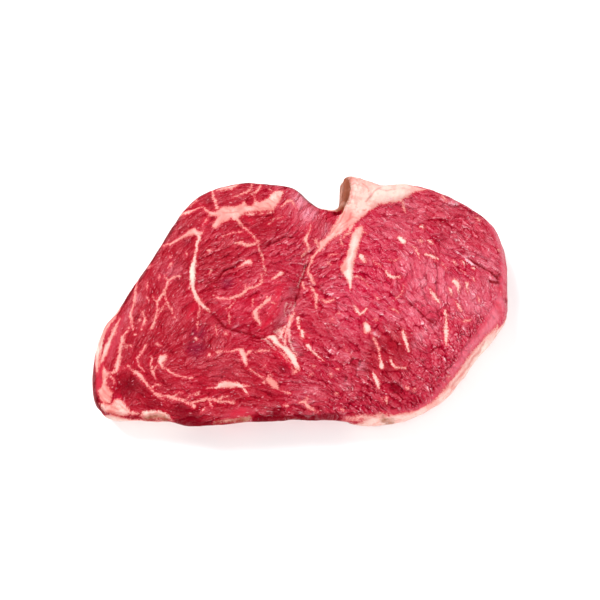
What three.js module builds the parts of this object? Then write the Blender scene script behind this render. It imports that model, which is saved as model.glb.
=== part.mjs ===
// A raw boneless ribeye steak, one slab of meat and fat. Millimetres, +Z up.
// The slab lies flat: its cut underside is at z = 0 and the middle of its outline is at x = y = 0.
// +X runs along the long side, from the thin tail to the thick eye, and +Y points to the fat knob.

import * as THREE from "three";
import { mergeVertices } from "three/addons/utils/BufferGeometryUtils.js";

// ---- Driving sizes -------------------------------------------------------------------------------

const EYE_THICKNESS = 21.5; // the slab under the big round muscle, before its crown
const TAIL_THICKNESS = 18; // the slab at the tip of the tail
const TAIL_TAPER = [-96, -30]; // the slab thins between these two x

const TOP_EDGE_FALL = 1.6; // how much lower the rim of the top face lies than the face inside it
const TOP_EDGE_REACH = 5; // how far in from the rim that fall reaches

// The widest line of the slab, counter-clockwise, as [x, y, top, under]: top is how far in from it the
// rim of the top face lies, and under is the same for the underside. Where under is large the side
// overhangs. Each side of the outline starts at a corner.
const SIDES = {
  near: [
    [-95, -54, 3, 4], [-90, -58.4, 2.6, 5], [-76, -60, 2, 6], [-61, -61, 1.8, 6.5], [-50, -63.2, 2, 7],
    [-38, -62.6, 1.8, 6.5], [-26, -61.4, 1.6, 6], [0, -60.2, 1.6, 6], [14, -59.6, 2, 5],
    [26, -60, 3, 3], [34, -60.5, 3.6, 2.4], [47, -58.6, 4.4, 2.2],
  ],
  eye: [
    [60.6, -53, 5.5, 2.2], [68, -47.8, 6.4, 2.2], [77, -37.4, 7.5, 2.2], [86.8, -24.8, 8.2, 2.2],
    [94, -16, 6.5, 2.4], [98.8, -8, 4.4, 2.4], [100, 6, 4, 2.4], [99.4, 23, 4, 2.4], [95.4, 36, 4, 2.4],
  ],
  far: [
    [87, 44, 3.5, 2.4], [76.4, 51.2, 3.5, 2.4], [63.6, 56.6, 3.2, 2.4], [51, 59.4, 3, 2.4],
    [41, 57.4, 3, 2.2], [31.4, 60.2, 2.6, 2], [26, 63, 2.4, 2], [20.4, 61.8, 2.6, 1.6], [19.4, 54, 2.8, 1.4],
    [18, 46.4, 2.4, 2], [12, 45.8, 2.6, 2.4], [5, 49.6, 3, 2.4], [-2, 56.4, 3, 2.4], [-14, 59, 3, 2.4],
    [-27, 60, 3, 2.4], [-38, 58, 3, 2.4],
  ],
  tail: [
    [-47.6, 55, 3.5, 2.4], [-57, 47, 3.5, 2.4], [-67, 31, 4, 2.4], [-76, 16, 4, 2.4],
    [-87, -2, 4, 2.4], [-94, -13, 4, 2.4], [-98, -26, 4.5, 2.4], [-99, -38, 4, 2.4],
    [-98, -48, 3.5, 3],
  ],
};

// Crowned muscles and lumps of fat, each an oval: centre, half length, half width, turn, rise.
const CROWNS = [
  { name: "eye", at: [54, -4], long: 50, wide: 52, turn: -20, rise: 2.2 },
  { name: "round muscle", at: [-23, -1], long: 24, wide: 17, turn: 12, rise: 2.4 },
  { name: "cap", at: [-32, 33], long: 34, wide: 17, turn: 4, rise: 1.4 },
  { name: "tail", at: [-70, -14], long: 38, wide: 20, turn: 62, rise: 1.2 },
  { name: "near strap", at: [-28, -38], long: 44, wide: 14, turn: 2, rise: 1.2 },
  { name: "fat knob", at: [36, 53], long: 22, wide: 9, turn: -8, rise: 3.0 },
  { name: "fat bar", at: [-27, 47], long: 20, wide: 4, turn: 8, rise: 0.8 },
];

// Creases between the muscles and folds where a muscle has opened: route, half width, depth. With a
// step, the ground on the right hand of the route also drops by that much, and climbs back further out.
const CREASES = [
  { name: "under the round muscle", half: 2.8, depth: 2.4, step: 0,
    route: [[-44, -8], [-36, -15], [-28, -18], [-20, -20], [-14, -20], [-10, -17]] },
  { name: "round muscle to eye", half: 2.8, depth: 2.2, step: 0,
    route: [[-10, -17], [-5, -10], [-2, -3], [0, 6], [3, 16]] },
  { name: "cap to eye", half: 2.8, depth: 1.4, step: 0,
    route: [[3, 16], [6, 21], [12, 29], [19, 38], [17, 47]] },
  { name: "over the round muscle", half: 2.7, depth: 1.7, step: 0,
    route: [[-18, 17], [-17, 23], [-12, 27], [-4, 30]] },
  { name: "left of the round muscle", half: 2.7, depth: 1.2, step: 0,
    route: [[-46, 6], [-41, 10], [-36, 14], [-31, 14]] },
  { name: "under the fat bar", half: 2.6, depth: 1.3, step: 0,
    route: [[-26, 41], [-20, 41], [-13, 41]] },
  { name: "cap to tail", half: 3, depth: 1.2, step: 0,
    route: [[-52, 34], [-50, 22], [-50, 8], [-47, -4]] },
  { name: "tail to near strap", half: 3.0, depth: 1.3, step: 0,
    route: [[-82, -29], [-76, -35], [-68, -44], [-58, -50], [-48, -52]] },
  { name: "hollow at the tip", half: 4.5, depth: 1.6, step: 0,
    route: [[-78, -46], [-70, -50], [-61, -53]] },
  { name: "hollow beside the round muscle", half: 4.0, depth: 1.4, step: 0,
    route: [[-49, -23], [-45, -19], [-41, -15]] },
  { name: "middle fat streak", half: 2.8, depth: 0.8, step: 0,
    route: [[-4, -13], [-11, -22], [-7, -29], [-1, -36]] },
  { name: "main fold of the eye", half: 2.7, depth: 1.2, step: 1.6,
    route: [[34, 12], [40, 5], [49, -2], [57, -8], [68, -15]] },
  { name: "lower fold of the eye", half: 2.7, depth: 1.0, step: 1.2,
    route: [[33, -3], [39, -7], [47, -13], [54, -20], [60, -30]] },
  { name: "fold at the eye's edge", half: 2.6, depth: 1.2, step: 1.0,
    route: [[66, 28], [78, 21], [86, 15], [92, 9], [99, 5]] },
  { name: "valley at the top of the eye", half: 3, depth: 1.3, step: 0,
    route: [[52, 43], [66, 38], [73, 34], [82, 30]] },
];

// Small lumps all over the top: their size and how far they stand out. On the side wall they dip in,
// and each is so many steps of the outline long.
const LUMP_SIZE = 9;
const LUMP_RISE = 0.6;
const WALL_LUMP_STEPS = 5;
const WALL_LUMP_RISE = 0.7;

// The side wall in section, from the underside up: share of the height, share of the inset at the top.
const WALL_RINGS = [
  { up: 0, top: 0 },
  { up: 0.1, top: 0 },
  { up: 0.3, top: 0 },
  { up: 0.54, top: 0.06 },
  { up: 0.75, top: 0.28 },
  { up: 0.9, top: 0.6 },
  { up: 1, top: 1 },
];
// The inset of the underside fades out at a share of the height: low on an upright side, high on one
// that overhangs. UPRIGHT and OVERHANG each give an inset and that share.
const UPRIGHT = { under: 2.4, fades: 0.28 };
const OVERHANG = { under: 6, fades: 0.8 };

// Grid of the top face.
const COLUMNS = 76;
const ROWS = 46;
const CURVE_PARTS = 400; // fine steps in which the outline is measured

// ---- Small helpers -------------------------------------------------------------------------------

const lerp = THREE.MathUtils.lerp;
const smoothstep = THREE.MathUtils.smoothstep;

// A repeatable draw from 0 to 1 for each whole-number place.
function draw(i, j) {
  const s = Math.sin(i * 127.1 + j * 311.7) * 43758.5453;
  return s - Math.floor(s);
}

// Smooth lumps between -1 and 1, one unit apart.
function lumps(x, y) {
  const i = Math.floor(x);
  const j = Math.floor(y);
  const u = smoothstep(x - i, 0, 1);
  const v = smoothstep(y - j, 0, 1);
  const low = lerp(draw(i, j), draw(i + 1, j), u);
  const high = lerp(draw(i, j + 1), draw(i + 1, j + 1), u);
  return 2 * lerp(low, high, v) - 1;
}

// The nearest place on a route: how far it is, and on which hand of the route the point lies.
function nearRoute(x, y, route) {
  let best = { away: Infinity, right: false };
  for (let k = 0; k + 1 < route.length; k++) {
    const [ax, ay] = route[k];
    const dx = route[k + 1][0] - ax;
    const dy = route[k + 1][1] - ay;
    const t = THREE.MathUtils.clamp(((x - ax) * dx + (y - ay) * dy) / (dx * dx + dy * dy), 0, 1);
    const away = Math.hypot(x - ax - t * dx, y - ay - t * dy);
    if (away < best.away) best = { away, right: dx * (y - ay) - dy * (x - ax) < 0 };
  }
  return best;
}

// ---- The top face --------------------------------------------------------------------------------

function crownRise(x, y, crown) {
  const turn = THREE.MathUtils.degToRad(crown.turn);
  const dx = x - crown.at[0];
  const dy = y - crown.at[1];
  const along = (dx * Math.cos(turn) + dy * Math.sin(turn)) / crown.long;
  const across = (dy * Math.cos(turn) - dx * Math.sin(turn)) / crown.wide;
  const r = Math.hypot(along, across);
  return r < 1 ? crown.rise * (1 - r * r) * (1 - r * r) * (1 + 2 * r * r) : 0;
}

function creaseDepth(x, y, crease) {
  const { away, right } = nearRoute(x, y, crease.route);
  const groove = crease.depth * Math.exp(-((away / crease.half) ** 2));
  const fall = away / (4 * crease.half);
  const bank = right ? crease.step * Math.exp(-fall * fall) : 0;
  return Math.max(groove, bank) + 0.3 * Math.min(groove, bank);
}

function topHeight(x, y) {
  const slab = lerp(TAIL_THICKNESS, EYE_THICKNESS, smoothstep(x, ...TAIL_TAPER));
  const crowns = CROWNS.reduce((sum, crown) => sum + crownRise(x, y, crown), 0);
  const creases = CREASES.reduce((sum, crease) => sum + creaseDepth(x, y, crease), 0);
  return slab + crowns - creases + LUMP_RISE * lumps(x / LUMP_SIZE, y / LUMP_SIZE);
}

// ---- The outline ---------------------------------------------------------------------------------

// The outline is a closed curve over its corners, and its z carries the inset at the top.
const corners = Object.values(SIDES).flat();
const outline = new THREE.CatmullRomCurve3(
  corners.map(([x, y, top]) => new THREE.Vector3(x, y, top)),
  true,
  "centripetal",
);

function underInset(share) {
  const at = share * corners.length;
  const k = Math.floor(at);
  return lerp(corners[k % corners.length][3], corners[(k + 1) % corners.length][3], at - k);
}

// Evenly spaced points from one share of the outline to another, without the last one. Each is
// [x, y, top, under], as the corners are.
function stretch(from, to, count) {
  const fine = [];
  for (let k = 0; k <= CURVE_PARTS; k++) {
    const share = lerp(from, to, k / CURVE_PARTS) % 1;
    const { x, y, z } = outline.getPoint(share);
    fine.push(new THREE.Vector4(x, y, z, underInset(share)));
  }
  const run = [0];
  for (let k = 1; k < fine.length; k++) {
    run.push(run[k - 1] + Math.hypot(fine[k].x - fine[k - 1].x, fine[k].y - fine[k - 1].y));
  }
  const points = [];
  let k = 1;
  for (let i = 0; i < count; i++) {
    const want = (run[run.length - 1] * i) / count;
    while (run[k] < want) k++;
    points.push(fine[k - 1].clone().lerp(fine[k], (want - run[k - 1]) / (run[k] - run[k - 1])));
  }
  return points;
}

const rim = [];
let passed = 0;
for (const [side, steps] of [["near", COLUMNS], ["eye", ROWS], ["far", COLUMNS], ["tail", ROWS]]) {
  const end = passed + SIDES[side].length;
  rim.push(...stretch(passed / corners.length, end / corners.length, steps));
  passed = end;
}
const AROUND = rim.length;

// The way in, square to the outline, at each of its points.
const inward = rim.map((_, i) => {
  const before = rim[(i + AROUND - 2) % AROUND];
  const after = rim[(i + 2) % AROUND];
  return new THREE.Vector2(before.y - after.y, after.x - before.x).normalize();
});

function insetPoint(i, distance) {
  return [rim[i].x + inward[i].x * distance, rim[i].y + inward[i].y * distance];
}

const topRim = rim.map((point, i) => insetPoint(i, point.z)); // z is the inset at the top

// The top face drops a little towards its rim.
function faceHeight(x, y) {
  const away = topRim.reduce((least, [rx, ry]) => Math.min(least, Math.hypot(x - rx, y - ry)), Infinity);
  return topHeight(x, y) - TOP_EDGE_FALL * (1 - smoothstep(away, 0, TOP_EDGE_REACH));
}

// ---- The solid -----------------------------------------------------------------------------------

const vertices = [];
const triangles = [];
function addVertex(x, y, z) {
  vertices.push(x, y, z);
  return vertices.length / 3 - 1;
}
function addQuad(a, b, c, d) {
  triangles.push(a, b, c, a, c, d);
}

// How far the wall stands in from the widest line on account of the underside's inset.
function underShare(under, up) {
  const overhang = (under - UPRIGHT.under) / (OVERHANG.under - UPRIGHT.under);
  const fades = lerp(UPRIGHT.fades, OVERHANG.fades, THREE.MathUtils.clamp(overhang, 0, 1));
  return under * Math.max(0, 1 - up / fades) ** 1.5;
}

// The side wall, ring over ring; its last ring is the rim of the top face.
const rings = WALL_RINGS.map((ring) =>
  rim.map((point, i) => {
    const [tx, ty] = topRim[i];
    const swell = ring.up > 0 && ring.up < 1 ? WALL_LUMP_RISE : 0;
    const lump = swell * Math.max(0, lumps(i / WALL_LUMP_STEPS, 3 * ring.up));
    const [x, y] = insetPoint(i, point.z * ring.top + underShare(point.w, ring.up) + lump);
    return addVertex(x, y, faceHeight(tx, ty) * ring.up);
  }),
);
for (let r = 0; r + 1 < rings.length; r++) {
  for (let i = 0; i < AROUND; i++) {
    const j = (i + 1) % AROUND;
    addQuad(rings[r][i], rings[r][j], rings[r + 1][j], rings[r + 1][i]);
  }
}

// The top face: a grid stretched between the four sides of its rim.
const side = {
  near: (c) => topRim[c],
  eye: (r) => topRim[COLUMNS + r],
  far: (c) => topRim[2 * COLUMNS + ROWS - c],
  tail: (r) => topRim[(AROUND - r) % AROUND],
};
const grid = [];
for (let r = 0; r <= ROWS; r++) {
  grid.push([]);
  for (let c = 0; c <= COLUMNS; c++) {
    const u = c / COLUMNS;
    const v = r / ROWS;
    const [x, y] = [0, 1].map(
      (k) =>
        lerp(side.near(c)[k], side.far(c)[k], v) +
        lerp(side.tail(r)[k], side.eye(r)[k], u) -
        lerp(
          lerp(side.near(0)[k], side.near(COLUMNS)[k], u),
          lerp(side.far(0)[k], side.far(COLUMNS)[k], u),
          v,
        ),
    );
    grid[r].push(addVertex(x, y, faceHeight(x, y)));
  }
}
for (let r = 0; r < ROWS; r++) {
  for (let c = 0; c < COLUMNS; c++) addQuad(grid[r][c], grid[r][c + 1], grid[r + 1][c + 1], grid[r + 1][c]);
}

// The flat underside.
const sole = rings[0].map((v) => new THREE.Vector2(vertices[3 * v], vertices[3 * v + 1]));
for (const [a, b, c] of THREE.ShapeUtils.triangulateShape(sole, [])) {
  triangles.push(rings[0][a], rings[0][c], rings[0][b]);
}

let geometry = new THREE.BufferGeometry();
geometry.setAttribute("position", new THREE.Float32BufferAttribute(vertices, 3));
geometry.setIndex(triangles);
geometry = mergeVertices(geometry, 1e-3);
geometry.computeBoundingBox();
const middle = geometry.boundingBox.getCenter(new THREE.Vector3());
geometry.translate(-middle.x, -middle.y, 0);
geometry.computeVertexNormals();

// Raw beef: deep pink, damp, so only half matt.
const rawMeat = new THREE.MeshStandardMaterial({ color: 0xc9505c, roughness: 0.45, metalness: 0 });
const steak = new THREE.Mesh(geometry, rawMeat);
steak.name = "steak";

const ribeye = new THREE.Group();
ribeye.add(steak);

export default ribeye;
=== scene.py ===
import math
from functools import partial

import bmesh
import bpy
import numpy as np
from mathutils import Matrix, Vector, noise
from mathutils.bvhtree import BVHTree
from mathutils.kdtree import KDTree


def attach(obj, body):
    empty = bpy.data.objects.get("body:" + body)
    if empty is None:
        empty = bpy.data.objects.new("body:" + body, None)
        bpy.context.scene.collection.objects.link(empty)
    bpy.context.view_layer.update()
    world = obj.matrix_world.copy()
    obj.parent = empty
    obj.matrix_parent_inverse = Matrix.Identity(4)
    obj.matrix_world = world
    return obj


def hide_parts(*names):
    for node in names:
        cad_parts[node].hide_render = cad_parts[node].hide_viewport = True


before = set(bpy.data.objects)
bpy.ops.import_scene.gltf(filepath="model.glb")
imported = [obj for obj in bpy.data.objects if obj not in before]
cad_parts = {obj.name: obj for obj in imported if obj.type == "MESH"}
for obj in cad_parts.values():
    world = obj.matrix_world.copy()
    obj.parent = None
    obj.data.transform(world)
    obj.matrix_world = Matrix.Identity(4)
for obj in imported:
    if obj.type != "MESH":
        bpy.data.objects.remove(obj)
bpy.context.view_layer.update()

CAD_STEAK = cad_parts["steak"]
ROOT = "root"
MM = 0.001

# ---- The camera comes first, because the marbling is laid out in its view ---------------------------

VIEW = 600  # the view's side, in pixels; a place on the steak is given as x to the right and y down in it
LENS = 85.0
SENSOR = 36.0
CAMERA_ELEVATION = math.radians(72)
CAMERA_DISTANCE = 680 * MM
LOOK_AT = Vector((-1.0, -0.3, 12)) * MM

to_camera = Vector((0, -math.cos(CAMERA_ELEVATION), math.sin(CAMERA_ELEVATION)))
camera_right = Vector((1, 0, 0))
camera_up = Vector((0, math.sin(CAMERA_ELEVATION), math.cos(CAMERA_ELEVATION)))
camera_at = LOOK_AT + CAMERA_DISTANCE * to_camera
focal_px = LENS / SENSOR * VIEW
PX = CAMERA_DISTANCE / focal_px  # how much steak one pixel covers


def make_camera():
    lens = bpy.data.cameras.new("camera")
    lens.lens = LENS
    lens.sensor_width = SENSOR
    lens.clip_start = 50 * MM
    camera = bpy.data.objects.new("camera", lens)
    bpy.context.scene.collection.objects.link(camera)
    turn = Matrix((camera_right, camera_up, to_camera)).transposed().to_4x4()
    camera.matrix_world = Matrix.Translation(camera_at) @ turn
    bpy.context.scene.camera = camera


make_camera()

# ---- The fine mesh ----------------------------------------------------------------------------------

SAME_CORNER = 0.001 * MM  # corners of the CAD triangles that are no farther apart are one corner
VOXEL = 1.17 * MM  # half of it is the mesh width on the cut face; any finer passes 200,000 triangles
STAIR_PASSES = 3  # of smoothing, which takes away the steps that the voxels leave
TOP_FACING = 0.35  # a face whose normal's z is over this belongs to the cut face on top
MISSED_AT = 14 * MM  # a line of sight that misses the steak ends at this height, on the nearest skin


def only(obj):
    bpy.ops.object.select_all(action="DESELECT")
    obj.select_set(True)
    bpy.context.view_layer.objects.active = obj


def apply_modifier(obj, kind, **settings):
    modifier = obj.modifiers.new(kind, kind)
    for key, value in settings.items():
        setattr(modifier, key, value)
    only(obj)
    bpy.ops.object.modifier_apply(modifier=modifier.name)


def fine_slab():
    """The CAD steak's own shape, in small even faces, and twice as fine on the cut face on top."""
    slab = bpy.data.objects.new("ribeye_steak", CAD_STEAK.data.copy())
    bpy.context.scene.collection.objects.link(slab)
    slab.data.materials.clear()
    only(slab)
    bpy.ops.object.mode_set(mode="EDIT")
    bpy.ops.mesh.select_all(action="SELECT")
    bpy.ops.mesh.remove_doubles(threshold=SAME_CORNER)
    bpy.ops.object.mode_set(mode="OBJECT")
    apply_modifier(slab, "REMESH", mode="VOXEL", voxel_size=VOXEL, use_smooth_shade=True)
    apply_modifier(slab, "SMOOTH", factor=0.5, iterations=STAIR_PASSES)
    bpy.ops.object.mode_set(mode="EDIT")
    bpy.ops.mesh.select_mode(type="FACE")
    bpy.ops.mesh.select_all(action="DESELECT")
    edit = bmesh.from_edit_mesh(slab.data)
    for face in edit.faces:
        face.select = face.normal.z > TOP_FACING
    bmesh.update_edit_mesh(slab.data)
    bpy.ops.mesh.subdivide(number_cuts=1, smoothness=0)
    bpy.ops.object.mode_set(mode="OBJECT")
    return slab


def read(name):
    values = np.empty(len(mesh.vertices) * 3, np.float32)
    mesh.vertices.foreach_get(name, values)
    return values.reshape(-1, 3).astype(float)


slab = fine_slab()
mesh = slab.data
place = read("co")
facing = read("normal")
skin_tree = BVHTree.FromPolygons([tuple(p) for p in place], [tuple(p.vertices) for p in mesh.polygons])


def landing(x, y):
    """Where the line of sight through a place in the view meets the steak."""
    sight = camera_right * (x - VIEW / 2) / focal_px - camera_up * (y - VIEW / 2) / focal_px - to_camera
    hit = skin_tree.ray_cast(camera_at, sight.normalized())[0]
    if hit is None:
        reach = (MISSED_AT - camera_at.z) / sight.z
        hit = skin_tree.find_nearest(camera_at + sight * reach)[0]
    return np.array(hit)


def smooth(x, low, high):
    t = np.clip((x - low) / (high - low), 0, 1)
    return t * t * (3 - 2 * t)


def wobble(points, size, seed):
    """Smooth noise between -1 and 1, with lumps of that size."""
    return np.array([noise.noise(Vector(p)) for p in points / size + seed])


def sideways(size, seed_x, seed_y):
    """The same as a shift in x and y."""
    return np.stack([wobble(place, size, seed_x), wobble(place, size, seed_y)], axis=1)


# ---- Where things are on the steak --------------------------------------------------------------------
# Routes are places in the view. A third number is the width there in pixels, in place of the route's own.

# The thick fat: the knob with the seam that runs down from it, the bar, and the fat at the edges.
FAT_PATCHES = {
    "knob": [(341, 211), (340, 196), (342, 180), (349, 175), (360, 176), (368, 180), (378, 185), (389, 184),
        (400, 183), (410, 185), (420, 188), (428, 189.5), (420, 192), (412, 194), (408, 197), (402, 200), (397, 203),
        (390, 203.5), (383, 205), (377, 206.5), (372, 209.5), (367, 213), (362, 217), (358, 221), (354, 224),
        (348, 227), (343, 233), (336, 237), (328, 243), (323, 248), (319, 248), (320, 241), (326, 237), (331, 230),
        (335, 222), (339, 216)],
    "bar": [(283.5, 190), (281, 190.5), (275, 191), (270, 194), (266, 198.5), (261, 201.5), (258, 201.5),
        (255.5, 198.5), (254, 202), (251, 206), (247, 205), (244.5, 200.5), (242, 203.5), (239, 205.5), (234, 206.5),
        (228.5, 206), (222, 206.5), (219, 209.5), (216, 212), (211.5, 211), (208, 213), (211, 215.5), (217, 216.5),
        (216.5, 220), (213.5, 223.5), (212.5, 226.5), (215, 229), (218, 228), (221, 224.5), (224, 221.5),
        (228.5, 221), (230, 218), (233, 220.5), (236, 221), (239, 218.5), (242, 215.5), (245, 213), (250, 212.5),
        (256, 211), (261, 211.5), (267, 209.5), (272, 210.5), (274, 208.5), (276, 206), (280, 202), (282, 197),
        (283.6, 193)],
    "fleck of the low eye": [(362.5, 321.5), (365.5, 322), (368.5, 323.5), (370.5, 326.5), (371.5, 330),
        (369.5, 332.5), (366, 333.5), (363.5, 332), (364.3, 327.5)],
    "tail corner": [(103, 364), (105, 370), (106.5, 374), (105.5, 379), (106, 386), (109, 388), (111, 390.5),
        (113, 394), (111, 397), (111.5, 401), (110, 404), (104, 404), (99, 399), (97, 391), (101, 387), (102, 380),
        (101, 372)],
    "under the tail corner": [(114, 400), (117, 399), (121, 401), (125, 404.5), (128, 408.5), (130, 411.5),
        (135, 412.7), (140, 414), (137, 416.5), (129, 415.5), (119, 418), (110, 421), (102, 416), (100, 406),
        (103, 402), (108, 405), (111, 405)],
    "hollow": [(139, 417), (142, 413.5), (147, 411.5), (153, 410.7), (159, 411), (166, 413.5), (172, 418.5),
        (174, 423), (160, 425), (146, 424)],
    "near edge": [(214, 423), (220, 421), (226, 419), (240, 417.5), (249, 415.5), (252, 417), (247, 420.5),
        (241, 423.5), (235, 427), (216, 427)],
    "near wall": [(343, 419.5), (352, 416.2), (359, 415), (368, 414.7), (381, 413), (390, 413.8), (396, 413.4),
        (402.5, 412.5), (410, 413), (419, 413.8), (415, 420), (403, 425), (393, 427), (381, 429), (368, 430),
        (355, 428), (345, 424)],
}

# Fat on the edges that face outwards: width, then route.
EDGE_FAT = [
    (7, [(498, 325, 2), (494.5, 332, 5), (489, 340, 7.5), (482.5, 350.5, 8.5), (476, 360.5, 8.5), (468, 371.5, 8.5),
        (460.5, 381.5, 8), (451.5, 392, 7.5), (443.5, 401, 6), (435, 407.5, 4), (426, 413, 2)]),
    (5, [(116, 316, 2.5), (110, 324, 3.5), (105, 331, 5), (100.5, 340, 8), (98, 350, 9), (96.5, 358, 8), (96, 366, 5),
        (96, 372, 2)]),
]

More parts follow.
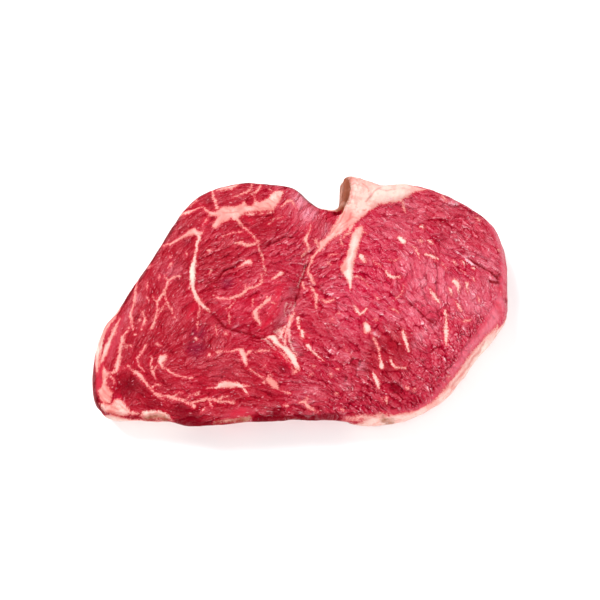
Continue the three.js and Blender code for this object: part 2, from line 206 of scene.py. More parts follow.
# Thin fat between and inside the muscles, pink where the meat shows through: width, then route.
PINK_VEINS = [
    # the strip below the knob
    (8, [(361, 228, 4), (358, 232, 8.5), (355.5, 240, 10), (353.5, 248, 9), (351, 257, 9.5), (348.5, 266, 10.5),
        (348.5, 274, 7.5), (350, 282, 4.5), (350, 290, 2)]),
    (2, [(357, 229), (362, 231), (367, 233.5, 1.5)]),
    (6, [(345.5, 262, 3), (343.5, 267, 6), (344.5, 272, 5), (347.5, 277, 3)]),
    (1.8, [(352, 233), (347, 234), (342, 233)]),
    (1.6, [(340, 238), (341.5, 243), (343, 247)]),
    # seam of the eye below the knob
    (4, [(324, 244, 6), (319.5, 249.5, 3), (314, 255.5, 2.4), (311, 261, 2.6), (309, 267, 2), (308.5, 271, 3),
        (310, 276, 3.4), (312.5, 280.5, 2.6), (316, 283.5, 1.4)]),
    (2.5, [(399, 198, 4), (402, 204, 2.5), (405, 212, 1.5)]),
    (2.5, [(352, 226, 5), (349, 232, 2.5), (343, 238, 1.5)]),
    # round the bar
    (1.6, [(256, 200), (254, 196), (250, 194)]),
    (1.4, [(272, 191), (268, 189)]),
    (2.6, [(281, 207.5), (285, 204), (289, 200.5), (292.5, 202), (295.5, 208)]),
    (2.2, [(200, 204), (207, 211), (213, 214, 3)]),
    (1.6, [(211, 215), (206, 221), (203, 227)]),
    (2.8, [(211.5, 190), (213.5, 196), (216, 203), (217.5, 208, 3.4)]),
    (2.2, [(253, 183), (250.5, 189), (243, 193.5), (232, 197.5)]),
    (2.8, [(261, 184), (258.5, 190), (252, 194.5)]),
    (4.5, [(217, 190.5, 2), (224, 189, 4), (231, 187.5, 4.6), (238, 185, 2.5)]),
    (3.5, [(182, 215, 3), (188, 213, 5), (192, 211, 3), (202, 208, 1.2)]),
    (1.5, [(188, 208), (196, 202), (197, 199)]),
    # left of the white vein
    (3, [(194, 232, 7), (187, 235, 4), (178, 240, 2.5), (170, 244, 2.5), (163, 246, 1.5)]),
    (3, [(194, 232, 7), (200, 234, 4), (204, 232, 1.5)]),
    (2, [(199, 305), (199.5, 312), (197.5, 318)]),
    (1.4, [(197, 322), (197, 331)]),
    (2.5, [(188, 289, 1.5), (193, 287, 4)]),
    # cap
    (2, [(236, 218, 3.5), (243, 227), (252, 235), (258, 241), (259, 248), (263, 259), (264, 266), (266, 274)]),
    (3, [(235, 243, 2), (241, 243, 3.5), (248, 245, 3.5), (256, 243, 2.5)]),
    (2.5, [(237, 268, 1.5), (242, 266, 2.5), (249, 262, 5.5), (252, 265, 2)]),
    (1.8, [(238, 230), (239.5, 234)]),
    (2, [(312, 222), (309, 232), (305.5, 239, 4.5), (308.5, 246, 2.4), (307, 251, 1.6), (302, 256, 1.4)]),
    (2.4, [(317, 240, 3), (318, 246, 2.4), (320, 249, 1.4)]),
    (2.8, [(208, 250.5), (211, 251)]),
    (2.6, [(212, 270), (210.5, 274)]),
    (1.4, [(222, 237), (232, 233), (243, 232)]),
    (1.4, [(268, 225), (275, 219), (284, 217)]),
    # round muscle
    (2.2, [(214, 296), (219, 298), (226, 298.5), (237, 296), (245, 292, 3.5), (248, 289), (257, 286), (262, 281),
        (262, 275)]),
    (1.8, [(246, 290), (245, 285)]),
    (1.6, [(236, 300), (231, 305), (226, 308)]),
    (3, [(272, 297, 1.5), (268, 301, 4.5), (261, 306, 2.5), (256, 311, 4.5), (256, 317, 5), (260, 324, 2.5)]),
    (2, [(268, 301), (275, 304)]),
    (2, [(268, 301), (266, 295)]),
    (3, [(281, 273, 5), (276, 277, 3.5), (272, 279, 1.5)]),
    (1.6, [(252.5, 299), (252, 307)]),
    (1.8, [(229, 312), (229, 324)]),
    (1.5, [(214, 325), (217, 335)]),
    (3.4, [(224.5, 333), (226.5, 333.5)]),
    # between the round muscle and the eye
    (4, [(293.5, 313, 2.4), (291, 318, 4), (288.8, 324, 4.4), (287, 330, 3.4), (286.5, 338, 2.6), (284.5, 345, 2)]),
    (3, [(284, 326, 2), (282.5, 331), (279, 337)]),
    (1.8, [(279, 349), (285, 356), (290, 363), (293, 369)]),
    (3, [(297, 369), (294, 373, 1.5)]),
    (2.8, [(310, 286, 1.8), (314, 292, 3), (317, 297, 3.8), (315.5, 302, 2.5), (315.5, 308, 1.6)]),
    (2.2, [(302, 281), (303.5, 287), (306, 288)]),
    (1.6, [(309, 294), (314, 298)]),
    (2.4, [(322, 299, 1.6), (327, 302, 3.2), (333, 299, 2.2)]),
    (2, [(329, 256), (332, 254), (339, 254)]),
    (1.8, [(327, 262), (332, 265)]),
    # eye, the fainter ones
    (1.8, [(353, 277), (361, 278), (369, 286)]),
    (1.8, [(373, 260), (380, 266)]),
    (1.4, [(389, 260), (394, 261), (400, 258)]),
    (1.6, [(442, 263), (447, 269)]),
    (1.8, [(389, 307), (399, 312)]),
    (3.2, [(463, 322), (470, 320)]),
    (2.6, [(371.5, 333), (375, 341), (378, 349), (380, 357)]),
    (3.2, [(374, 319), (378, 321)]),
    (2.8, [(338, 313), (339, 314)]),
    (2.8, [(331, 318), (333, 321)]),
    (2.8, [(337, 368.5), (339, 369.5)]),
    (2.8, [(331, 373), (332, 376.5)]),
    (2, [(313, 366), (314, 367)]),
    (1.8, [(310, 376), (313, 373)]),
    (2.5, [(414, 388), (415, 390)]),
    (3, [(405, 387), (408, 388)]),
    (2, [(447, 376), (451, 378)]),
    (3.2, [(386.5, 396), (387, 402)]),
    (1.8, [(382, 397), (381.5, 401)]),
    (3.2, [(498, 249), (500, 251)]),
    (3, [(441, 195), (447, 202)]),
    (2, [(474, 218), (479, 219), (476, 224)]),
    (1.6, [(404, 284), (402, 292), (396, 299)]),
    (1.5, [(345, 348), (352, 356)]),
    (1.5, [(460, 270), (466, 273)]),
    (1.5, [(478, 296), (480, 302)]),
    (2, [(420, 240), (422, 243)]),
    # near strap
    (3, [(217, 352, 2), (228, 351, 1.5), (238, 350, 3), (242, 352, 5.5), (244.5, 358, 6), (247, 365, 3)]),
    (2.5, [(244.5, 356, 4), (249, 352, 3), (253, 350, 1.8)]),
    (1.7, [(256, 352), (263, 350), (270, 350)]),
    (5, [(267, 378, 2.5), (270, 380.5, 5), (274, 384, 6.5), (277.5, 387, 3)]),
    (2.6, [(263, 382), (265, 383)]),
    (1.8, [(269, 377), (271, 373)]),
    (1.4, [(263, 368), (267, 364)]),
    (1.4, [(248, 366), (254, 372), (261, 377), (267, 380)]),
    (1.7, [(278, 388), (284, 391), (290, 393)]),
    (2.8, [(284, 405.5), (290, 405)]),
    (2.6, [(300, 402.5, 2), (305, 401.5, 3), (309, 406, 4), (314, 409.5, 2.4), (319, 412, 1.5)]),
    (2, [(306, 401), (308, 397)]),
    (2, [(285, 392.5), (291, 394)]),
    (2, [(336, 393), (338, 394)]),
    (3, [(342, 409), (343, 411)]),
    (2, [(241, 384.5), (249, 385.5)]),
    (1.5, [(206, 388), (217, 387)]),
    (3.4, [(208, 355), (211, 354.5)]),
    (3.2, [(196, 395), (199.5, 392)]),
    # lower seam of the tail
    (3, [(127, 366, 1.6), (132.5, 371.5, 2), (135.5, 374, 5), (139.5, 377, 4.2), (143, 381.5, 2.8), (147, 386, 2.4),
        (152, 391.5, 1.6), (156, 395, 2.8), (165, 396.5, 2), (172, 398.5, 3.6), (179, 399.5, 2.8), (185, 402, 2.4),
        (190, 404, 2.8), (197, 401, 2), (208, 399, 2.8), (218, 401, 1.8), (225, 402, 2.2), (234, 402, 1.5)]),
    (1.8, [(150, 389), (154, 386), (160, 385)]),
    (1.8, [(171, 398), (176, 394), (183, 393)]),
    (2, [(185, 402), (189, 396), (196, 394)]),
    (1.8, [(159, 396), (164, 401)]),
    (1.8, [(217, 401), (222, 397), (229, 396)]),
    (4.6, [(193, 404.5), (193.5, 407)]),
    (3, [(208.5, 400), (210, 404), (212, 408)]),
    (2, [(201, 412), (205, 408)]),
    # veins of the tail, fanning towards its tip
    (2.4, [(138, 280), (136, 289), (134, 300), (132.5, 308), (130.5, 315, 3.4), (131, 321, 3), (133, 328, 1.6)]),
    (2.8, [(129, 327, 1.8), (125, 334, 2.5), (122.5, 338, 4), (121.5, 346, 3.5), (119, 356, 3.5), (116.5, 366, 4.5),
        (115.5, 371, 3.6), (111, 373.3, 3), (106, 374.5, 3)]),
    (2.2, [(141, 310), (145, 319), (142.5, 325), (142, 330)]),
    (2.4, [(165, 276), (168, 281), (167, 286), (164, 292), (158, 300.5, 3.6), (157.5, 305), (155.5, 316),
        (152.5, 326), (150, 330)]),
    (2, [(168, 281), (173, 278), (180, 276)]),
    (2, [(165, 291), (166, 298), (167, 305), (171, 310), (172, 315)]),
    (2.4, [(173.5, 317), (174, 318.5)]),
    (2, [(152, 296), (158, 301)]),
    (1.5, [(156, 318), (161, 310), (165, 304)]),
    (2, [(170, 256), (171, 259)]),
    (2, [(172, 263), (167, 268)]),
    (1.6, [(186, 252), (187, 256)]),
    (2, [(159.5, 275), (159.5, 279)]),
    (1.8, [(147.5, 282), (147, 289)]),
    (1.6, [(147, 296), (148.5, 301)]),
    (2.8, [(149, 267), (151, 266)]),
    (2.4, [(139, 320), (140, 319)]),
    (2.6, [(134.5, 335), (136, 334)]),
    (2.2, [(146, 345), (141, 354), (137, 358), (138, 365), (144, 372)]),
    (2, [(156, 344), (160, 346)]),
    (2.2, [(151, 356), (151, 366), (153, 375), (156, 380)]),
    (4.5, [(165, 356.5, 4.5), (161.5, 360, 7.5), (160.5, 364.5, 3.5), (163.5, 368.5, 2.5), (169, 371.5, 2.6),
        (178, 376, 2), (192, 377, 1.6)]),
    (1.5, [(153, 371), (158, 365)]),
    (2.6, [(126, 345), (127, 347)]),
    (3, [(130.5, 345), (131, 347)]),
    (2, [(122, 367), (124, 369)]),
    # tip of the tail
    (3.2, [(120, 317, 1.5), (117, 324, 2.5), (114.5, 331, 4), (110.6, 338.5, 4), (107.5, 346, 6), (104, 354, 4),
        (100, 361.5, 3.5), (97.5, 367, 2), (96, 373, 1.5)]),
    (2.2, [(105, 377), (109, 377.3), (112.5, 380, 2), (114, 384, 1.4)]),
]

# Veins and flecks with a cream-white core: width, then route.
WHITE_VEINS = [
    # the long vein between the tail and the cap
    (4, [(195, 231, 3.5), (199, 237, 4), (197, 246, 3.2), (195.5, 255, 2.4), (194, 262, 4.2), (193, 271, 4.8),
        (193, 280, 4.6), (193, 288, 4), (196, 296, 4.6), (200, 302, 5), (204, 307, 4), (209, 311, 2)]),
    # the strip's white core
    (3, [(354, 246, 2), (351, 257, 3), (348.5, 266, 4), (349, 274, 5), (350, 282, 3.5), (350, 289, 1.5)]),
    # eye
    (4.2, [(398.5, 237.5, 3.5), (403, 241.5, 5)]),
    (3.6, [(420.5, 226.5), (424, 228)]),
    (3.2, [(427, 240.5), (432, 243.5)]),
    (2.4, [(412, 246), (418, 252), (420, 258)]),
    (2.6, [(426, 254, 2), (432, 256, 3.4), (438, 258.5, 2.6)]),
    (2.8, [(452, 260), (456, 264.5)]),
    (3.2, [(461.5, 260.5), (464.5, 264)]),
    (2.2, [(473, 266.5), (476, 269.5)]),
    (2.4, [(471.5, 277), (475, 281)]),
    (2.6, [(386, 270.5, 2), (391, 277, 3.6), (400, 277, 2)]),
    (4, [(361, 256.5, 5.5), (365.5, 262, 2)]),
    (4, [(454, 281, 5), (457.5, 285, 4.5), (459, 293, 1.5)]),
    (3.2, [(448, 286.5), (452, 295.5)]),
    (2.6, [(467, 283, 3.2), (467, 292, 1.5)]),
    (3, [(430, 289, 2), (434.5, 297, 3.8), (439, 302, 2.5)]),
    (2.8, [(456, 302), (461, 311)]),
    (3, [(445.3, 310.5, 2.8), (446, 319, 2.6), (446.5, 334, 4.2), (446.5, 345, 2)]),
    (3, [(402.5, 330, 2), (405.3, 339.5, 4.2), (409, 351, 2)]),
    (3, [(389.5, 357), (392.5, 363, 3), (397, 367.5, 2), (405, 368, 1.8)]),
    (3, [(354, 306, 2), (357.5, 312, 3.6), (361, 313.5, 3), (366.5, 309, 2.2)]),
    (3.5, [(379.4, 355, 2.6), (380.5, 361, 3.4), (381, 367, 4.8)]),
    (3.5, [(373, 373.5, 2.6), (376.5, 380.5, 4.6), (379, 388, 2.2)]),
    (2.2, [(375, 295.5), (379, 300.5)]),
    # the cut skin under the bar
    (2.2, [(245.5, 214.8), (251, 214), (256.5, 213.4)]),
    (2.2, [(259, 213.2), (264, 212.8)]),
    (2.2, [(266.5, 212.8), (273, 212)]),
    # the streak in the middle, from the round muscle down into the near side
    (2, [(262, 339, 1.5), (268, 338, 2.5)]),
    (7, [(269, 337, 3), (273.5, 337.5, 6.5), (276.5, 341, 6), (280, 345, 4.6), (284.5, 348.5, 5.5), (289, 352.5, 7),
        (293, 358.5, 6.6), (296, 364, 6), (298.5, 368.5, 3.4)]),
    (3.4, [(279, 329.5, 2.6), (281.5, 333, 3.4), (280.5, 338, 3)]),
    (3.4, [(297.5, 317.5, 3.6), (298, 322.5, 2.4), (298.6, 328, 3)]),
    (4.2, [(301.6, 331, 3.8), (302.6, 336, 4)]),
    (3, [(307.5, 345.5, 5), (311.5, 349.5, 2.4), (317, 354.5, 2.6), (323.5, 360.5, 1.4)]),
    # near side and tail
    (4, [(215, 388.5, 2), (222, 384.5, 5), (232, 384.5, 6), (241, 386, 4), (246, 391, 2.2), (249, 396, 1.6)]),
    (3.6, [(195, 339.5), (197, 339.5)]),
]

# Thin silvery skin that lies on the meat in strands: width, then route.
FILM_STRANDS = [
    (3, [(288, 330), (290, 336), (291, 343), (294, 350), (297, 356, 1.5)]),
    (1, [(298, 286), (301, 278), (305, 266), (308, 256)]),
    (2.8, [(275, 332, 2), (279, 329), (284, 326.5), (288.5, 322, 2)]),
    (2.2, [(266, 340), (271, 345), (276, 349, 1.5)]),
    (2, [(282, 327), (281, 334), (284, 341), (287, 348)]),
    (1.8, [(285.5, 326), (286.5, 333), (285, 341)]),
    (1.8, [(277, 331), (279.5, 336), (277, 341)]),
    (1.5, [(278, 337), (282, 338), (286, 337)]),
    (1.5, [(287, 303), (284.5, 309), (286, 316)]),
    (1.4, [(291, 303), (288.5, 310), (290.5, 315)]),
    (1.4, [(295, 303), (292.5, 309), (293, 313)]),
    (1.5, [(262, 338), (269, 341), (275, 348)]),
    (1.5, [(343, 228), (340, 233), (341, 240)]),
]

# Painted sheen where that skin lies: the meat is painted pale in wet threads, partly the skin's own colour and partly
# a painted highlight: place, radius in pixels, and how strongly.
SHEEN = [
    (299, 201, 8, 1), (308, 214, 9, 0.9), (289, 310, 6, 0.5), (284, 320, 6, 0.35), (292, 291, 5, 0.3),
    (283, 331, 5, 0.4), (295, 345, 5, 0.5), (298, 354, 4, 0.4), (348, 355, 4, 0.6), (362, 367, 5, 0.5),
    (436, 327, 4, 0.6), (421, 337, 5, 0.5), (486, 262, 10, 0.4), (493, 281, 9, 0.5), (488, 240, 8, 0.2),
    (450, 240, 10, 0.1), (425, 300, 18, 0.2), (347, 384, 5, 0.3), (136, 298, 5, 0.5), (131, 310, 5, 0.4),
    (126, 318, 4, 0.4), (410, 205, 14, 0.2), (398, 225, 16, 0.2), (450, 203, 10, 0.35), (330, 232, 8, 0.5),
    (415, 345, 6, 0.3),
]

# Cracks: width in pixels, depth in mm, then route. They are painted dark crimson, as painted shade in the crevice.
CRACKS = [
    (3.2, 1.4, [(206, 309), (209, 312), (215, 318), (222, 325), (231, 329), (242, 331.5), (251, 334), (260, 337.5),
        (266, 337.5)]),
    (2.8, 0.9, [(306, 266), (303, 278), (300.5, 282), (299, 289), (297.5, 295), (296, 302), (295, 305)]),
    (3, 1.2, [(206, 283.5), (212, 281.5), (218, 279), (223, 272), (230, 268.5), (237, 267)]),
    (2.4, 0.7, [(208, 291), (214, 288), (221, 287), (228, 290)]),
    (2.2, 0.6, [(224, 276), (231, 274), (238, 276), (243, 281)]),
    (2.2, 0.9, [(265.5, 250), (270, 244.5), (277, 241), (281, 239), (286, 237), (294, 237)]),
    (2.4, 0.9, [(250, 297), (254, 293.5), (258, 293), (262, 296)]),
    (2, 0.6, [(262, 309), (266, 315), (266, 322)]),
    (2, 0.5, [(274, 309), (280, 304), (284, 296)]),
    (2, 0.7, [(335, 272), (338, 274), (341, 279)]),
    (2.4, 0.9, [(210, 335), (210.5, 346)]),
    (1.6, 0.4, [(409, 211), (417, 215), (428, 217), (438, 220), (447, 224), (455, 228)]),
    (2.2, 0.7, [(246, 217.5), (256, 216), (265, 215.6), (274, 214.6)]),
    (4.2, 1.2, [(491, 281), (499, 282.5), (507, 287)]),
    (3.8, 1, [(497, 299), (507, 301)]),
    (2, 0.6, [(368, 203), (371, 198), (374, 196)]),
    (4, 0.7, [(334, 211), (337, 214)]),
    (17, 3.6, [(342.5, 180, 8), (341.5, 187, 14), (341, 196, 16), (340, 205, 14), (339, 211, 8)]),
    (1.8, 0.4, [(435, 239), (443, 240.5), (451, 244), (460, 246)]),
    (3.2, 1, [(468, 258), (477, 264), (485, 269), (493, 273), (501, 280)]),
    (1.6, 0.4, [(455, 228), (466, 240), (478, 250)]),
    (1.5, 0.3, [(372, 288), (381, 291), (389, 293.5), (400, 298), (410, 304)]),
    (2.6, 0.7, [(410, 304), (419, 311), (425, 316), (431, 321), (437, 325)]),
    (2.6, 0.8, [(431, 352), (434, 349), (440, 346)]),
    (2.2, 0.8, [(342, 361), (350, 363), (358, 367), (368, 371), (372, 373)]),
    (2.4, 0.8, [(382, 383), (388, 387), (395, 391), (403, 399)]),
    (3.2, 0.9, [(391, 383), (396, 387)]),
    (2, 0.6, [(481, 329), (474, 338), (464, 349), (461, 358), (450, 367), (441, 373), (435, 382)]),
    (2, 0.5, [(316, 283), (322, 290), (329, 294)]),
    (2, 0.5, [(181, 270), (184, 282), (185, 292)]),
    (2, 0.5, [(196, 281), (203, 279)]),
    (2, 0.6, [(392, 262), (396, 270), (397, 280), (402, 286)]),
    (1.8, 0.5, [(410, 262), (413, 271), (411, 281)]),
    (1.8, 0.5, [(420, 285), (424, 294), (431, 300)]),
    (1.8, 0.5, [(436, 262), (438, 272), (435, 281)]),
    (1.8, 0.5, [(448, 268), (450, 276)]),
    (1.8, 0.5, [(330, 300), (338, 305), (346, 306)]),
    (1.8, 0.5, [(349, 316), (357, 322), (360, 330)]),
    (1.8, 0.5, [(388, 321), (396, 326), (404, 327)]),
    (1.8, 0.5, [(416, 352), (422, 358), (424, 366)]),
    (1.8, 0.5, [(440, 350), (446, 358), (447, 366)]),
    (1.8, 0.5, [(352, 378), (360, 384), (369, 387)]),
    (2.2, 0.6, [(133, 380), (141, 389), (150, 396), (160, 401)]),
    (2.2, 0.6, [(118, 378), (126, 384), (134, 391), (142, 396)]),
    (1.8, 0.5, [(112, 384), (121, 391), (130, 397), (140, 401)]),
    (1.8, 0.5, [(116, 393), (124, 398), (133, 403)]),
    (1.8, 0.4, [(125, 374), (132, 383), (138, 391)]),
    (2.2, 0.6, [(150, 404), (163, 407), (176, 412)]),
    (2.2, 0.6, [(252, 416), (270, 416), (290, 417), (306, 418)]),
    (2, 0.5, [(344, 420), (365, 421), (388, 422), (402, 420)]),
]

# Long raised folds in the lean, with a painted highlight on top: width in pixels, height in mm, then route.
RIDGES = [
    (4.5, 0.7, [(452, 248), (463, 251), (474, 256), (484, 262), (494, 269), (502, 276)]),
    (4, 0.5, [(466, 236), (478, 243), (488, 252), (497, 262)]),
    (4, 0.5, [(474, 224), (484, 233), (492, 245), (498, 256)]),
    (3.6, 0.5, [(372, 284.5), (382, 287.5), (392, 290.5), (403, 295), (413, 302)]),
    (3.6, 0.4, [(405, 205), (417, 210.5), (430, 213), (442, 216.5), (454, 222)]),
    (3.6, 0.4, [(329, 320), (340, 324), (350, 332), (358, 341)]),
    (3.6, 0.4, [(310, 306), (322, 309), (336, 307)]),
    (3.4, 0.4, [(350, 338), (362, 345), (372, 352), (382, 360)]),
    (3.4, 0.4, [(335, 347), (346, 354), (358, 362), (369, 368)]),
    (3.6, 0.5, [(378, 306), (390, 313), (402, 320), (412, 329)]),
    (3.4, 0.4, [(390, 330), (400, 337), (411, 346)]),
    (3.4, 0.4, [(268, 241), (278, 236.5), (290, 233.5)]),
    (3.2, 0.4, [(212, 336), (221, 330), (233, 333), (246, 336)]),
    (3, 0.3, [(255, 265), (270, 262), (284, 265)]),
    (3.4, 0.4, [(214, 277), (221, 271), (229, 265), (238, 263)]),
    (3.2, 0.4, [(296, 381), (310, 387), (326, 392)]),
    (3.2, 0.4, [(330, 381), (342, 388), (355, 395)]),
    (4, 0.4, [(440, 226), (452, 231), (462, 240)]),
]

# Smooth skin over the edge, without muscle grain: width, then route.
MEMBRANE = [
    (12, [(474, 208, 2), (484, 216, 5), (492, 227, 7), (500, 243, 8), (504, 262, 8), (504, 285, 8), (501, 300, 11),
        (499, 310, 13), (494, 320, 15), (488, 330, 15), (479, 340, 13), (471, 350, 11.5), (464.5, 360, 11.5),
        (456.5, 370, 10.5), (450.5, 380, 9.5), (442.5, 390, 8), (435, 399, 8), (427, 406, 8), (415, 411, 5),
        (402, 411, 3), (385, 412.5, 2.5)]),
    (7, [(113, 321, 3), (108.5, 330, 3), (105.5, 340, 2)]),
    (7, [(100.5, 364, 4), (100, 374, 7), (99, 383, 7), (97, 390, 4)]),
    (6, [(124.5, 312, 3), (121.5, 321, 6), (118.5, 330, 6), (115, 341, 7), (111.5, 350, 7), (108, 359, 5)]),
    (9, [(222, 418, 3), (232, 414, 8), (243, 411.5, 8), (254, 412, 4)]),
    (6, [(355, 225, 2), (350, 229.5, 5), (346, 233, 3)]),
]

# Brown-tan on the fat at the edge; on the notch wall by the knob the tan also stands in for painted shade: width,
# then route.
NOTCH_TAN = (17, [(342, 179, 12), (341, 187, 17), (340.5, 196, 18), (339.5, 205, 15), (338.5, 210, 8)])
TAN = [
    (2.8, [(147, 418), (154, 416.4), (161, 417), (168, 421)]),
    (3, [(216, 424), (227, 423), (240, 421), (250, 418)]),
    (2.5, [(383, 419), (386.5, 423), (393, 423.5)]),
]

# Where fat is flushed orange-pink, or very white below zero: place, radius in pixels, and how strongly.
BLUSH = [
    (347, 217, 9, 1), (336, 229, 8, 0.6), (326, 240, 6, 0.5), (351, 181, 6, 0.8), (360, 180, 5, 0.5),
    (349, 195, 6, 0.5), (361, 229, 5, 0.5), (344, 268, 5, 0.9), (353, 244, 9, -0.3), (222, 216, 10, 0.8),
    (240, 210, 8, 0.7), (259, 207, 9, 0.7), (280, 193, 6, -0.1), (270, 206, 5, 0.7), (192, 233, 8, 0.6),
    (200, 302, 6, 0.6), (196, 250, 7, 0.3), (193, 275, 11, -0.9), (283, 346, 5, 0.3), (290, 356, 8, -0.1),
    (298, 371, 5, 0.9), (274, 339, 5, -0.4), (273, 383, 8, 0.8), (103, 376, 6, 0.7), (106, 393, 9, 0.8),
    (122, 405, 6, -0.2), (112, 413, 5, 0.9), (103, 409, 5, -0.6), (105, 402, 4, 0.8), (349.5, 275, 9, -0.7),
    (368, 327, 5, -0.6), (364, 331, 3, 0.9), (482, 350, 12, -0.8), (465, 374, 9, -0.3), (446, 394, 9, 0.25),
    (430, 407, 8, 0.6), (368, 421, 8, 0.2), (349, 421, 6, 0.7), (398, 418, 8, 0.2), (161, 361, 6, -0.3),
    (228, 386, 9, 0.6), (401, 240, 5, -0.7), (447, 333, 12, -0.1), (155, 419, 7, 0.9), (146, 412.5, 3.5, -0.8),
    (153, 411, 3.5, -0.8), (161, 412, 3.5, -0.7), (168, 415.5, 3.5, -0.6), (99, 346, 13, -0.65),
    (376, 192, 11, -0.45), (398, 191, 10, -0.5), (360, 197, 7, -0.25), (427, 190, 6, 0.7), (265, 338, 4, 0.5),
]

# Vivid red meat with no grain beside the fat, where juice has gathered: width, then route.
FLUSH = [
    (5, [(272, 346, 3), (278.5, 353.5, 5.5), (285, 359, 5.5), (290, 367, 4)]),
    (3, [(342.5, 262), (343, 272)]),
    (6, [(356, 226, 3), (350, 230, 6), (345, 235, 4)]),
    (4, [(307, 334, 3), (307.5, 340, 4.5)]),
    (6, [(280, 285), (277, 300), (270, 316, 8), (262, 328, 6)]),
    (5, [(232, 413), (244, 411)]),
    (5, [(118, 398), (116, 401)]),
    (4, [(99, 366), (97, 376), (98, 386)]),
    (7, [(500, 288), (503, 294)]),
    (6, [(498, 304), (500, 312)]),
    (4, [(188, 318, 3), (192, 312, 5), (195, 306, 3)]),
    (4, [(284, 331), (283, 338)]),
    (4, [(296, 316, 2), (299.5, 329), (305, 341)]),
    (4, [(204, 225, 3), (208, 219, 4)]),
    (4, [(236, 212), (246, 218, 3), (252, 222)]),
]

# Folds in thick fat, painted pink-red along each crease, partly the meat's pink and partly painted shade: width in
# pixels, then route.
FAT_FOLDS = [
    (1.6, [(365.5, 201.5), (368.5, 198.5), (372, 195)]),
    (1.2, [(372, 195), (375, 191), (381, 188)]),
    (1.4, [(352, 186), (355, 183.5), (357, 186), (359.5, 185)]),
    (1.3, [(358, 187), (358.5, 190)]),
    (1.2, [(350, 180), (354, 179), (358, 181)]),
    (2, [(351, 213), (350, 218), (346, 223), (341, 226)]),
    (1.6, [(362, 210.5), (366, 209)]),
    (1.4, [(357, 218), (352, 217)]),
    (1.6, [(345, 212), (342, 219), (337, 224)]),
    (1.3, [(338, 225), (333, 232), (328, 236)]),
    (1.4, [(348, 224), (343, 228), (337, 233)]),
    (1.2, [(258, 209), (264, 208), (270, 209)]),
    (1.2, [(250, 212), (256, 211), (262, 211)]),
    (1.4, [(266, 203), (270, 206), (272, 210)]),
    (1.2, [(222, 213), (230, 213), (238, 212)]),
    (1.3, [(225, 208), (231, 211)]),
    (1.3, [(244, 206), (252, 205), (258, 207)]),
    (1.3, [(268, 198), (274, 203)]),
    (1.2, [(277, 195), (280, 200)]),
    (1.2, [(214, 220), (220, 216)]),
    (1.5, [(118, 313), (110, 322), (104, 330), (99, 338), (96, 348)]),
    (1.5, [(108, 328), (102, 339), (99.5, 350), (99, 360), (98, 368)]),
    (1.2, [(105, 338), (102.5, 347)]),
    (1.2, [(97, 352), (95.5, 361)]),
    (1.3, [(100, 388), (105, 392), (108, 397)]),
    (1.6, [(103, 391), (108, 396), (113, 400.5), (117, 406)]),
    (1.6, [(98, 394), (102, 399), (107, 404), (112, 409)]),
    (1.8, [(110, 389), (113, 394), (115, 398)]),
    (1.3, [(104, 384), (108, 390), (114, 394)]),
    (1.4, [(143, 417), (150, 413.8), (158, 413.4), (165, 416.5)]),
    (1.4, [(148, 420), (156, 418.4), (164, 420)]),
    (1.3, [(118, 404), (122, 408), (127, 412)]),
    (2.2, [(109, 414), (116, 416.5), (123, 417.5)]),
    (1.6, [(103, 408), (106, 414)]),
    (1.6, [(112, 408), (118, 411)]),
    (1.3, [(361, 183), (366, 187), (369, 192)]),
    (1.2, [(378, 189), (386, 191), (395, 190)]),
    (1.2, [(350, 188), (352, 197), (349, 205)]),
    (1.4, [(105, 397), (111, 402), (115, 408)]),
    (1.4, [(101, 396), (104, 402), (106, 409)]),
    (1.6, [(108, 412), (115, 414), (121, 413)]),
    (2, [(383, 418.5), (385, 421), (387, 424)]),
    (1.4, [(346, 422), (356, 423), (364, 424)]),
    (1.6, [(489, 346), (481, 357), (472, 369), (463, 381), (454, 391)]),
]

# Soft patches of painted shade, where the meat is darkened to crimson along the edges and walls and in hollows, and a
# few of darker meat; below zero the meat is paler: place, radius in pixels, and how strongly.
SHADE = [
    (215, 340, 8, 0.4), (128, 386, 14, 0.8), (142, 392, 8, 0.6), (182, 410, 14, 0.8), (192, 422, 14, 1),
    (256, 228, 12, 0.4), (172, 272, 14, -0.5), (396, 387, 7, 0.8), (388, 368, 12, 0.5), (378, 346, 12, 0.5),
    (398, 352, 12, 0.4), (340, 345, 12, 0.3), (345, 236, 5, 0.5), (432, 321, 5, 0.8), (404, 294, 8, 0.5),
    (442, 236, 10, 0.5), (462, 252, 9, 0.4), (480, 318, 7, 0.5), (318, 412, 8, 0.8), (275, 417, 12, 1),
    (300, 417, 12, 0.7), (212, 200, 8, 0.7), (335, 213, 5, 0.9), (460.5, 360.5, 3, 0.9), (298, 296, 4, 0.7),
    (288, 247, 8, 0.3), (283, 368, 6, 0.7), (137, 318, 6, 0.6), (428, 352, 6, 0.4), (97, 406, 5, 1), (93, 380, 4, 1),
    (92.5, 393, 5, 1), (121, 418, 6, 0.8), (387, 402, 6, 0.7), (366, 396, 6, 0.5), (350, 388, 8, 0.4),
    (205, 345, 8, 0.5), (328, 338, 9, 0.3), (214, 217, 4, 0.8), (460, 335, 6, 0.4), (400, 250, 10, 0.2),
    (331, 257, 8, 0.2), (237, 230, 6, 0.5), (184, 228, 8, 0.4), (167, 243, 8, 0.4), (145, 270, 8, 0.3),
    (210, 424, 8, 0.8), (325, 417, 8, 0.8), (424, 270, 27, -0.5), (474, 301, 18, -1), (450, 290, 18, -0.7),
    (440, 258, 10, -0.3), (330, 285, 12, -0.2), (276, 301, 11, -0.4), (345, 300, 14, -0.3), (400, 318, 12, -0.2),
    (385, 225, 18, -0.1), (310, 397, 16, -0.4), (222, 370, 16, -0.3), (420, 333, 8, -0.3), (134, 342, 15, 0.3),
    (228, 212, 6, 0.3), (152, 405, 12, 0.6), (232, 402, 10, 0.3), (205, 385, 14, 0.2), (165, 385, 12, 0.3),
]
